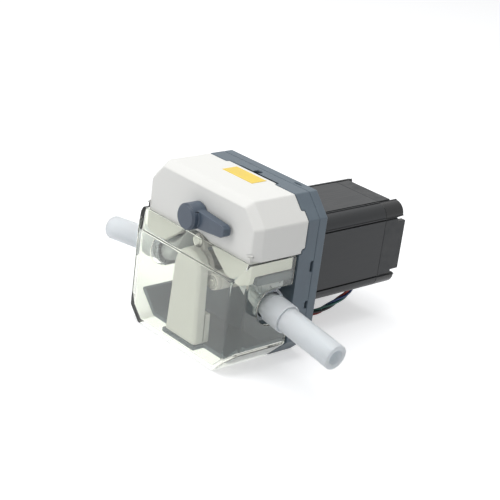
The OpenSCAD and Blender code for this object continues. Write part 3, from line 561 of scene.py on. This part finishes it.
class ScrewTree(TreeBuilder):
    """Hex-socket screws, one on each point of a mesh: the head's top is on the point, and the shank goes down -Z."""

    def __init__(self) -> None:
        """Builds head, chamfer, shank and socket once, and puts a copy on each point."""
        super().__init__("socket_screws", ("Head radius", "Head height", "Shank radius", "Length", "Socket radius"))
        head_r, head_h, shank_r, length, socket_r = (self.given[s] for s in ("Head radius", "Head height",
                                                     "Shank radius", "Length", "Socket radius"))
        chamfer = self.maths(head_r, 0.12, "MULTIPLY")
        barrel_h = self.maths(head_h, chamfer)
        barrel = self.bar(32, head_r, barrel_h, chamfer)
        rim = self.add("GeometryNodeMeshCone", {"Vertices": 32, "Radius Top": self.maths(head_r, chamfer),
                       "Radius Bottom": head_r, "Depth": chamfer}, fill_type="NGON")
        rim_at = self.moved(rim.outputs["Mesh"], self.maths(0.0, chamfer))
        shank = self.bar(24, shank_r, self.maths(length, head_h), head_h)
        solid = self.add("GeometryNodeMeshBoolean", operation="UNION")
        for part in (barrel, rim_at, shank):
            self.tree.links.new(part, solid.inputs["Mesh 2"])
        hexagon = self.bar(6, socket_r, self.maths(head_h, 1.0, "MULTIPLY"), self.maths(head_h, -0.4, "MULTIPLY"))
        cut = self.add("GeometryNodeMeshBoolean", {"Mesh 1": solid.outputs["Mesh"]}, operation="DIFFERENCE")
        self.tree.links.new(hexagon, cut.inputs["Mesh 2"])
        flat = self.add("GeometryNodeSetShadeSmooth", {"Geometry": cut.outputs["Mesh"], "Shade Smooth": False})
        turned = self.add("GeometryNodeTransform", {"Geometry": flat.outputs["Geometry"], "Rotation": self.given["Turn"]})
        spread = self.add("GeometryNodeInstanceOnPoints", {"Points": self.given["Geometry"],
                          "Instance": turned.outputs["Geometry"]})
        self.end(spread.outputs["Instances"])

    def moved(self, mesh: bpy.types.NodeSocket, height: object) -> bpy.types.NodeSocket:
        """Moves a mesh along Z."""
        at = self.add("ShaderNodeCombineXYZ", {"Z": height})
        return self.add("GeometryNodeTransform", {"Geometry": mesh, "Translation": at.outputs[0]}).outputs["Geometry"]

    def bar(self, sides: int, radius: object, length: object, below: object) -> bpy.types.NodeSocket:
        """A bar along Z whose top lies a given distance below the point."""
        made = self.add("GeometryNodeMeshCylinder", {"Vertices": sides, "Radius": radius, "Depth": length})
        middle = self.maths(self.maths(length, -0.5, "MULTIPLY"), below)
        return self.moved(made.outputs["Mesh"], middle)


class SweptTree(TreeBuilder):
    """A flat outline drawn out along Y into a bar with chamfered ends, as an extruded housing is."""

    def __init__(self) -> None:
        """Builds three stretches: chamfer, bar and chamfer."""
        super().__init__("chamfered_extrusion", ("Length", "Chamfer", "Inset"))
        length, chamfer, inset = (self.given[s] for s in ("Length", "Chamfer", "Inset"))
        small = self.scaled(self.given["Geometry"], None, inset)
        back = self.add("GeometryNodeFlipFaces", {"Mesh": small})
        mesh, top = self.drawn(small, None, chamfer)
        grown = self.scaled(mesh, top, self.maths(1.0, inset, "DIVIDE"))
        bar_l = self.maths(length, self.maths(chamfer, 2.0, "MULTIPLY"))
        mesh, top = self.drawn(grown, top, bar_l)
        mesh, top = self.drawn(mesh, top, chamfer)
        ended = self.scaled(mesh, top, inset)
        both = self.add("GeometryNodeJoinGeometry")
        for part in (ended, back.outputs["Mesh"]):
            self.tree.links.new(part, both.inputs["Geometry"])
        welded = self.add("GeometryNodeMergeByDistance", {"Geometry": both.outputs["Geometry"], "Distance": 1e-6})
        self.end(welded.outputs["Geometry"])

    def scaled(self, mesh: bpy.types.NodeSocket, chosen: bpy.types.NodeSocket | None,
               share: object) -> bpy.types.NodeSocket:
        """Scales chosen faces about their middle."""
        inputs = {"Geometry": mesh, "Scale": share}
        if chosen is not None:
            inputs["Selection"] = chosen
        return self.add("GeometryNodeScaleElements", inputs).outputs["Geometry"]

    def drawn(self, mesh: bpy.types.NodeSocket, chosen: bpy.types.NodeSocket | None,
              far: object) -> tuple[bpy.types.NodeSocket, bpy.types.NodeSocket]:
        """Draws chosen faces out along Y and returns the mesh and its new end face."""
        inputs = {"Mesh": mesh, "Offset": (0.0, 1.0, 0.0), "Offset Scale": far, "Individual": False}
        if chosen is not None:
            inputs["Selection"] = chosen
        made = self.add("GeometryNodeExtrudeMesh", inputs)
        return made.outputs["Mesh"], made.outputs["Top"]


class Direction(Enum):
    """Ways that a screw's head can face, as turns about X, Y and Z."""

    UP = (0.0, 0.0, 0.0)
    DOWN = (math.pi, 0.0, 0.0)
    BACK = (-math.pi / 2, 0.0, 0.0)


@dataclass
class ScrewSet:
    """A set of like screws.

    Attributes:
        name: Name of the set.
        nodes: CAD nodes that it stands for.
        points: Tops of the heads in mm.
        faces: The way that the heads face.
        head: Radius and height of the head in mm.
        shank: Radius and length with the head, in mm.
        finish: Finish of the screws.
        slot: The record's slot; not used.
        body: The body that they ride on.
    """

    name: str
    nodes: tuple[str, ...]
    points: Sequence[Point]
    faces: Direction
    head: tuple[float, float]
    shank: tuple[float, float]
    finish: Finish
    slot: str
    body: Body = Body.ROOT

    def build(self, tree: ScrewTree) -> bpy.types.Object:
        """Makes the screws with the screw tree.

        Args:
            tree: The screw tree.

        Returns:
            The piece.
        """
        points = [[v * MM for v in p] for p in self.points]
        made = tree.run(self.name, mesh_from(self.name, points, []), self.finish, self.faces.value,
                        Head_radius=self.head[0] * MM, Head_height=self.head[1] * MM, Shank_radius=self.shank[0] * MM,
                        Length=self.shank[1] * MM, Socket_radius=min(0.5 * self.head[0], 0.8 * self.shank[0]) * MM)
        smooth(made, 28)
        return dress(made, self.finish, self.body, self.slot, *self.nodes)


# ---------- camera, floor and light ----------

@dataclass(frozen=True)
class Studio:
    """White floor and surroundings, one long lens, and soft lamps above and in front.

    Attributes:
        eye: Place of the camera in metres.
        ahead: Direction that it looks in.
        roll: Turn about its own axis, in degrees.
        lens: Focal length in mm.
    """

    eye: Point = (0.5653, -0.5395, 0.3691)
    ahead: Point = (-0.6701, 0.6424, -0.3718)
    roll: float = 7.445
    lens: float = 95.45

    def aim(self) -> None:
        """Makes the camera."""
        ahead = Vector(self.ahead).normalized()
        level = ahead.cross(Vector((0, 0, 1))).normalized()
        upright = level.cross(ahead).normalized()
        turn = math.radians(self.roll)
        right = level * math.cos(turn) + upright * math.sin(turn)
        up = upright * math.cos(turn) - level * math.sin(turn)
        camera = bpy.data.cameras.new("camera")
        camera.lens, camera.sensor_width = self.lens, 36.0
        made = bpy.data.objects.new("camera", camera)
        bpy.context.scene.collection.objects.link(made)
        axes = Matrix((right, up, -ahead)).transposed().to_4x4()
        made.matrix_world = Matrix.Translation(self.eye) @ axes
        bpy.context.scene.camera = made

    def floor(self) -> None:
        """Makes the floor: matt and white, a little lifted to the camera so that its shadow stays faint."""
        mesh = mesh_from("floor", [(-3, -3, 0), (3, -3, 0), (3, 3, 0), (-3, 3, 0)], [(0, 1, 2, 3)])
        material = bpy.data.materials.new("matt_floor")
        material.use_nodes = True
        tree = material.node_tree
        tree.nodes.clear()
        seen = self.seen(tree)
        glow = add_node(tree, "ShaderNodeEmission", {"Color": srgb("#FFFFFF")})
        strength = add_node(tree, "ShaderNodeMath", {0: seen, 1: 0.5}, operation="MULTIPLY")
        tree.links.new(strength.outputs[0], glow.inputs["Strength"])
        plain = add_node(tree, "ShaderNodeBsdfDiffuse", {"Color": srgb("#E3E4E6")})
        both = add_node(tree, "ShaderNodeAddShader", {0: plain.outputs[0], 1: glow.outputs[0]})
        add_node(tree, "ShaderNodeOutputMaterial", {"Surface": both.outputs[0]})
        mesh.materials.append(material)
        place("floor", mesh)

    def seen(self, tree: bpy.types.NodeTree) -> bpy.types.NodeSocket:
        """Returns 1 for rays that show the surroundings: from the camera, off gloss and through clear pieces."""
        path = add_node(tree, "ShaderNodeLightPath").outputs
        two = add_node(tree, "ShaderNodeMath", {0: path["Is Camera Ray"], 1: path["Is Glossy Ray"]}, operation="MAXIMUM")
        return add_node(tree, "ShaderNodeMath", {0: two.outputs[0], 1: path["Is Transmission Ray"]},
                        operation="MAXIMUM").outputs[0]

    def surroundings(self) -> None:
        """Makes the white surroundings, and a softer light from them."""
        world = bpy.data.worlds.new("studio")
        world.use_nodes = True
        tree = world.node_tree
        tree.nodes.clear()
        strength = add_node(tree, "ShaderNodeMapRange", {"Value": self.seen(tree), "To Min": 0.42, "To Max": 1.0})
        ground = add_node(tree, "ShaderNodeBackground", {"Color": (1, 1, 1, 1), "Strength": strength.outputs[0]})
        add_node(tree, "ShaderNodeOutputWorld", {"Surface": ground.outputs[0]})
        bpy.context.scene.world = world

    def lamp(self, name: str, at: Point, to: Point, size: float, watts: float) -> None:
        """Makes a square soft lamp.

        Args:
            name: Its name.
            at: Its place.
            to: The point that it faces.
            size: Length of its side in metres.
            watts: Its power.
        """
        light = bpy.data.lights.new(name, "AREA")
        light.size, light.energy = size, watts
        made = bpy.data.objects.new(name, light)
        bpy.context.scene.collection.objects.link(made)
        made.matrix_world = (Matrix.Translation(at)
                             @ (Vector(to) - Vector(at)).to_track_quat("-Z", "Y").to_matrix().to_4x4())

    def build(self) -> None:
        """Makes camera, floor, surroundings and lamps."""
        self.aim()
        self.floor()
        self.surroundings()
        self.lamp("overhead", (-0.15, -0.1, 1.3), (0, 0, 0.05), 1.2, 11)
        self.lamp("front", (-0.35, -1.2, 0.7), (0, 0, 0.05), 0.8, 3.4)
        bpy.context.scene.view_settings.view_transform = "Standard"


# ---------- the motor's leads ----------

@dataclass
class Leads:
    """Four stranded leads, lightly twisted, out of the motor's grommet and folded into a tied hank.

    Attributes:
        bundle: Thickness of the bundle in mm.
        strand: Thickness of one lead in mm.
        lay: Length of one twist in mm.
        hank_x: Middle of the hank in mm.
        ends: Centres of its two folds on Y, in mm.
        fold: Radius of the folds in mm.
        layers: Heights of its two layers in mm.
    """

    bundle: float = 4.2
    strand: float = 1.7
    lay: float = 46.0
    hank_x: float = -30.0
    ends: tuple[float, float] = (48.7, 93.3)
    fold: float = 12.6
    layers: tuple[float, float] = (2.75, 6.95)

    def corners(self) -> list[Vector]:
        """The points that the bundle's middle goes through, in mm."""
        out = [(14, 88, 25), (14, 88, 21), (14, 87, 17), (14, 83, 13.5), (14, 78, 11.5), (14, 72, 9.5), (13, 66, 7),
               (11, 60, 4.5), (6, 55, 2.6), (-1, 52, 2.2), (-8, 51.5, 2.2), (-13, 53, 2.2), (-16.5, 58, 2.2),
               (-17.5, 64, 2.4)]
        near, far = self.ends
        right, left = self.hank_x + self.fold, self.hank_x - self.fold
        low, high = self.layers
        out += [(right, y, low) for y in (72, 80, 88)] + self.turn(far, 0, low, low)
        out += [(left, y, low) for y in (86, 76, 66, 56)] + self.turn(near, 180, low, high)
        out += [(right, y, high) for y in (56, 66, 76, 86)] + self.turn(far, 0, high, high)
        out += [(left, y, high) for y in (86, 76, 66, 56, 49)]
        out += [(left, 44, 6.9), (left + 0.3, 40, 5.8), (left + 0.5, 37, 4.5), (left + 0.6, 34.5, 3.8)]
        return [Vector(p) for p in out]

    def turn(self, y: float, start: float, low: float, high: float) -> list[Point]:
        """Points of one fold of the hank, climbing from one height to another in its second half."""
        made = []
        for k in range(13):
            share = k / 12
            angle = math.radians(start + 180 * share)
            climb = max(0.0, (share - 0.3) / 0.7)
            climb = climb * climb * (3 - 2 * climb)
            made.append((self.hank_x + self.fold * math.cos(angle), y + self.fold * math.sin(angle),
                         low + (high - low) * climb))
        return made

    def middle(self) -> list[Vector]:
        """The bundle's middle line as points about 1.5 mm apart, in metres."""
        line = self.corners()
        ends = [line[0] * 2 - line[1]] + line + [line[-1] * 2 - line[-2]]
        dense: list[Vector] = []
        for a, b, c, d in zip(ends, ends[1:], ends[2:], ends[3:]):
            steps = max(1, round((c - b).length / 1.5))
            for k in range(steps):
                t = k / steps
                dense.append(0.5 * ((2 * b) + (c - a) * t + (2 * a - 5 * b + 4 * c - d) * t * t
                                    + (3 * b - a - 3 * c + d) * t ** 3) * MM)
        return dense + [line[-1] * MM]

    def strands(self, line: Sequence[Vector]) -> list[bpy.types.Mesh]:
        """One tube a lead, wound about the middle line.

        Args:
            line: The middle line.

        Returns:
            Four meshes.
        """
        reach = (self.bundle - self.strand) / 2 * MM
        made = []
        for number, finish in enumerate(LEAD_COLOURS):
            centres, gone = [], 0.0
            side = Vector((1, 0, 0))
            for i, point in enumerate(line):
                ahead = (line[min(i + 1, len(line) - 1)] - line[max(i - 1, 0)]).normalized()
                side = (side - ahead * side.dot(ahead)).normalized()
                gone += (point - line[max(i - 1, 0)]).length
                angle = math.tau * (number / 4 + gone / (self.lay * MM))
                centres.append(point + (side * math.cos(angle) + ahead.cross(side) * math.sin(angle)) * reach)
            mesh = self.tube(f"lead_{number}", centres)
            mesh.materials.append(finish.material())
            made.append(mesh)
        return made

    def tube(self, name: str, centres: Sequence[Vector]) -> bpy.types.Mesh:
        """A round tube through points."""
        rings = []
        side = Vector((1, 0, 0))
        for i, point in enumerate(centres):
            ahead = (centres[min(i + 1, len(centres) - 1)] - centres[max(i - 1, 0)]).normalized()
            side = (side - ahead * side.dot(ahead)).normalized()
            other = ahead.cross(side)
            rings.append([point + (side * math.cos(math.tau * k / 10) + other * math.sin(math.tau * k / 10))
                          * self.strand / 2 * MM for k in range(10)])
        return loft(name, rings)

    def build(self) -> None:
        """Makes the leads, their plug, tie and grommet."""
        line = self.middle()
        bundle = joined("lead_bundle", self.strands(line))
        smooth(bundle, 60)
        dress(bundle, LEAD_COLOURS[0], Body.ROOT, "lead_pvc", "motor_leads", "leads_hank")
        plug = soften("leads_plug", 0.3, PLUG_NYLON, Body.ROOT, "white_abs", 2)
        tie = soften("leads_tie", 0.2, TIE_NYLON, Body.ROOT, "tie_black", 2)
        soften("lead_grommet", 0.35, RUBBER, Body.ROOT, "seal_black", 2)


# ---------- the pump head ----------

@dataclass
class HeadPlates:
    """The fixed parts of the head: moulded body, motor flange, posts and their screws."""

    def build(self, screws: ScrewTree) -> None:
        """Makes the plates and their screws."""
        soften("rear_body", 0.7, GREY_NYLON, Body.ROOT, "head_grey")
        soften("motor_flange", 0.7, GREY_NYLON, Body.ROOT, "head_grey")
        soften("guide_posts", 0.5, STEEL, Body.ROOT, "steel", 2)
        ScrewSet("flange_cap_screws", ("flange_screws",), [(x, 13.5, z) for x in (-40, 40) for z in (14, 90)],
                 Direction.BACK, (3.4, 4.0), (2.0, 13.8), BLACK_STEEL, "black_steel").build(screws)


@dataclass
class BearingArm:
    """The white arm that carries the rotor's front bearing."""

    def build(self, screws: ScrewTree) -> None:
        """Makes the arm and the screws under its foot."""
        soften("bearing_arm", 0.6, WHITE_ABS, Body.ROOT, "white_abs")
        ScrewSet("arm_foot_screws", ("arm_screws",), [(x, -41.8, 2.9) for x in (-8, 8)], Direction.DOWN, (2.0, 2.0),
                 (1.7, 12.0), PLATED, "screw_steel").build(screws)
        repaint(STEEL, "front_bearing", "rear_bearing")
        repaint(RUBBER, "shaft_seal")


@dataclass
class PressBlock:
    """The white block that slides up off the tube, with the insert that holds the track."""

    def build(self, screws: ScrewTree) -> None:
        """Makes shell, insert, screws, bushes and sticker."""
        soften("block_shell", 1.0, WHITE_ABS, Body.BLOCK, "white_abs", 4)
        soften("track_insert", 0.6, WHITE_ACETAL, Body.BLOCK, "white_abs")
        soften("guide_bushes", 0.3, BRONZE, Body.BLOCK, "bronze", 2)
        soften("label_plate", 0.1, LABEL_FILM, Body.BLOCK, "label_film", 2)
        ScrewSet("block_cap_screws", ("block_screws",), [(x, -9.4, z) for x, z in ((-36, 92), (36, 92), (-22, 94),
                 (22, 94))], Direction.BACK, (2.7, 1.8), (1.5, 32.2), BLACK_STEEL, "black_steel",
                 Body.BLOCK).build(screws)


@dataclass
class Lever:
    """The release lever on its crank."""

    def build(self) -> None:
        """Makes lever and crank."""
        soften("lever", 0.6, LEVER_ABS, Body.LEVER, "lever_grey", 4)
        soften("crank_shaft", 0.3, STEEL, Body.LEVER, "steel", 2)


@dataclass
class ClearGuard:
    """The clear cover in front of the rotor."""

    def build(self) -> None:
        """Makes the guard."""
        soften("clear_guard", 0.8, CLEAR_PC, Body.GUARD, "clear_pc", 3)


@dataclass
class Rotor:
    """The rotor: plates, pins and the three rollers that squeeze the tube."""

    def build(self) -> None:
        """Makes the rotor's turning pieces."""
        for node, width in (("front_rotor_plate", 0.5), ("rear_rotor_plate", 0.5)):
            soften(node, width, WHITE_ACETAL, Body.ROTOR, "rotor_white")
        for node, width in (("drive_shaft", 0.3), ("roller_pins", 0.4), ("pin_clips", 0.15)):
            soften(node, width, STEEL, Body.ROTOR, "steel", 2)
        for number in (1, 2, 3):
            soften(f"roller_{number}", 0.5, WHITE_ACETAL, f"roller_{number}", "rotor_white")
        repaint(STEEL, "motor_shaft")
        repaint(BLACK_STEEL, "motor_magnet", "shaft_grub_screw")


@dataclass
class PumpTube:
    """The pump's tube: flattened round the track, round where it goes out through the walls.

    Attributes:
        outer: Diameter in mm.
        wall: Wall in mm.
        squeezed: Thickness between rollers and track, in mm.
        flat: Width there in mm.
        middle: Radius of the middle line on the track.
        axis_z: Height of the rotor's axis.
        depth: Place of the tube on Y.
        land: Where it goes into its clamp, in X and Z.
        droop: Degrees that it falls outwards.
        reach: Length outside the clamp's point.
        leave_at: Angle at which it leaves the track.
        sides: Faces round the skin.
    """

    outer: float = 16.2
    wall: float = 3.3
    squeezed: float = 5.2
    flat: float = 23.56
    middle: float = 23.9
    axis_z: float = 52.0
    depth: float = -23.1
    land: tuple[float, float] = (49.0, 43.0)
    droop: float = 8.0
    reach: float = 60.5
    leave_at: float = 38.0
    sides: int = 40

    def ring(self, x: float, z: float, thick: float, wide: float, heading: float) -> list[Point]:
        """One ring of the skin, as points in metres."""
        turn = math.radians(heading)
        made = []
        for k in range(self.sides):
            c = math.tau * k / self.sides
            u, v = thick / 2 * math.sin(c), wide / 2 * math.cos(c)
            made.append(((x - u * math.sin(turn)) * MM, (self.depth + v) * MM, (z + u * math.cos(turn)) * MM))
        return made

    def bend(self, t: float) -> tuple[float, float]:
        """Middle line between track and clamp: a cubic curve."""
        a = math.radians(self.leave_at)
        start = Vector((self.middle * math.cos(a), self.axis_z + self.middle * math.sin(a)))
        end = Vector(self.land)
        k = 0.431 * (end.x - start.x)
        first = start + k * Vector((math.cos(a - math.pi / 2), math.sin(a - math.pi / 2)))
        second = end - k * Vector((math.cos(math.radians(self.droop)), -math.sin(math.radians(self.droop))))
        point = ((1 - t) ** 3 * start + 3 * t * (1 - t) ** 2 * first + 3 * t * t * (1 - t) * second + t ** 3 * end)
        return point.x, point.y

    def half(self) -> list[tuple[float, float, float, float, float]]:
        """Right half of the middle line from the track's top to the open end: X, Z, thickness, width, heading."""
        made = []
        for k in range(14):
            angle = 90 - k * (90 - self.leave_at) / 13
            a = math.radians(angle)
            made.append((self.middle * math.cos(a), self.axis_z + self.middle * math.sin(a), self.squeezed, self.flat,
                         angle - 90))
        made.pop()
        for k in range(25):
            t = k / 24
            x, z = self.bend(t)
            before, after = self.bend(t - 0.01), self.bend(t + 0.01)
            slope = math.degrees(math.atan2(after[1] - before[1], after[0] - before[0]))
            grown = (t * t * (3 - 2 * t)) ** 1.15
            round_d = self.outer - 0.5
            made.append((x, z, self.squeezed + (round_d - self.squeezed) * grown,
                         self.flat + (round_d - self.flat) * grown, slope if k < 24 else -self.droop))
        turn = math.radians(self.droop)
        bore = self.outer - 2 * self.wall
        ends = [(2, self.outer), (12, self.outer), (30, self.outer), (48, self.outer), (self.reach - 0.4, self.outer),
                (self.reach - 0.1, self.outer - 0.25), (self.reach, self.outer - 0.8), (self.reach, bore + 0.7),
                (self.reach - 0.15, bore + 0.2), (self.reach - 0.5, bore), (self.reach - 20, bore), (4.0, bore)]
        for s, d in ends:
            made.append((self.land[0] + s * math.cos(turn), self.land[1] - s * math.sin(turn), d, d, -self.droop))
        return made

    def build(self, screws: ScrewTree) -> None:
        """Makes tube, sleeves and clamps."""
        right = self.half()
        left = [(-x, z, thick, wide, -heading) for x, z, thick, wide, heading in reversed(right[1:])]
        made = place("tube_skin", loft("tube_skin", [self.ring(*p) for p in left + right]))
        smooth(made, 45)
        dress(made, SILICONE, Body.ROOT, "tube_silicone", "pump_tube")
        for side in ("left", "right"):
            soften(f"tube_sleeve_{side}", 0.5, SILICONE, Body.ROOT, "tube_silicone")
            soften(f"tube_clamp_{side}", 0.5, CLEAR_NYLON, Body.ROOT, "clear_nylon")
        ScrewSet("clamp_cap_screws", ("clamp_screws",), [(x, -28.1, 62.2) for x in (-45, 45)], Direction.UP, (1.5, 1.6),
                 (1.3, 8.2), PLATED, "screw_steel").build(screws)


# ---------- the motor ----------

@dataclass
class Motor:
    """The square motor: extruded housing between two cast ends, long screws through its corner bars.

    Attributes:
        width: Side of the motor in mm.
        axis_z: Height of its axis.
        corner: Distance of the corner bars' middles from the sides.
        bar: Radius of the corner bars.
        groove: Width of the grooves beside them.
        bore: Radius of the housing's bore.
        ends: Front and rear plane of the housing on Y.
        pitch: Distance between two screws.
        screw_y: Plane of the screws' heads on Y.
    """

    width: float = 60.0
    axis_z: float = 52.0
    corner: float = 8.5
    bar: float = 8.0
    groove: float = 1.2
    bore: float = 26.5
    ends: tuple[float, float] = (21.0, 94.1)
    pitch: float = 47.14
    screw_y: float = 110.9

    def quarter(self) -> list[Vector]:
        """One side and one corner of the outline, about the axis, in mm."""
        half, flat = self.width / 2, self.width / 2 - self.corner
        low, high = flat - 1.5 * self.groove, flat - 0.5 * self.groove
        made = [(half, -low), (half, 0), (half, low), (half - 1.1, low), (half - 1.1, high), (half, high), (half, flat)]
        for k in range(13):
            a = math.radians(7.5 * k)
            made.append((flat + self.bar * math.cos(a), flat + self.bar * math.sin(a)))
        made += [(flat, half), (high, half), (high, half - 1.1), (low, half - 1.1)]
        return [Vector(p) for p in made]

    def outline(self) -> bpy.types.Mesh:
        """The housing's section at its front plane, with its bore, as a flat mesh."""
        shape = bmesh.new()
        rims = []
        outer = [Matrix.Rotation(math.radians(90 * k), 2) @ p for k in range(4) for p in self.quarter()]
        inner = [Vector((self.bore * math.cos(math.tau * k / 72), self.bore * math.sin(math.tau * k / 72)))
                 for k in range(72)]
        for points in (outer, inner):
            verts = [shape.verts.new((p.x * MM, self.ends[0] * MM, (self.axis_z + p.y) * MM)) for p in points]
            rims += [shape.edges.new((a, b)) for a, b in zip(verts, verts[1:] + verts[:1])]
        bmesh.ops.triangle_fill(shape, edges=rims, use_beauty=True, normal=(0, 1, 0))
        for face in shape.faces:
            if face.normal.y < 0:
                face.normal_flip()
        mesh = bpy.data.meshes.new("housing_section")
        shape.to_mesh(mesh)
        shape.free()
        return mesh

    def repaint_bars(self, made: bpy.types.Object) -> None:
        """Gives the corner bars their gloss, and the cap's open steps their rough skin."""
        made.data.materials.append(MOTOR_BARS.material())
        made.data.materials.append(MOTOR_SPECKLED.material())
        flat = self.width / 2 - self.corner
        for face in made.data.polygons:
            x, y, z = face.center / MM
            if abs(x) > flat + 0.1 and abs(z - self.axis_z) > flat + 0.1:
                face.material_index = 1
            elif face.normal.y > 0.9 and 105 < y < 107.5:
                face.material_index = 2

    def build(self, screws: ScrewTree, swept: SweptTree) -> None:
        """Makes the motor's pieces."""
        length = self.ends[1] - self.ends[0]
        housing = swept.run("extruded_housing", self.outline(), MOTOR_BODY, Length=length * MM, Chamfer=0.3 * MM,
                            Inset=0.99)
        smooth(housing, 22)
        dress(housing, MOTOR_BODY, Body.ROOT, "motor_black", "motor_housing")
        soften("motor_front_plate", 0.35, MOTOR_CAST, Body.ROOT, "motor_black", 2)
        soften("motor_rear_cap", 0.4, MOTOR_CAST, Body.ROOT, "motor_black", 2)
        for made in (housing, bpy.data.objects["motor_front_plate_shown"], bpy.data.objects["motor_rear_cap_shown"]):
            self.repaint_bars(made)
        repaint(STEEL, "motor_front_bearing", "motor_rear_bearing")
        repaint(COPPER, "motor_stator")
        at = self.pitch / 2
        ScrewSet("motor_cap_screws", ("motor_bolts",), [(x, self.screw_y, self.axis_z + z) for x in (-at, at)
                 for z in (-at, at)], Direction.BACK, (3.4, 4.0), (2.0, 103.2), PLATED, "screw_steel").build(screws)


def main() -> None:
    """Builds the scene: camera and leads first, then the head, the tube and the motor."""
    logging.basicConfig(level=logging.INFO, format="%(name)s %(message)s")
    Studio().build()
    Leads().build()
    screws, swept = ScrewTree(), SweptTree()
    HeadPlates().build(screws)
    BearingArm().build(screws)
    PressBlock().build(screws)
    Lever().build()
    ClearGuard().build()
    Rotor().build()
    PumpTube().build(screws)
    Motor().build(screws, swept)


if __name__ == "__main__":
    main()
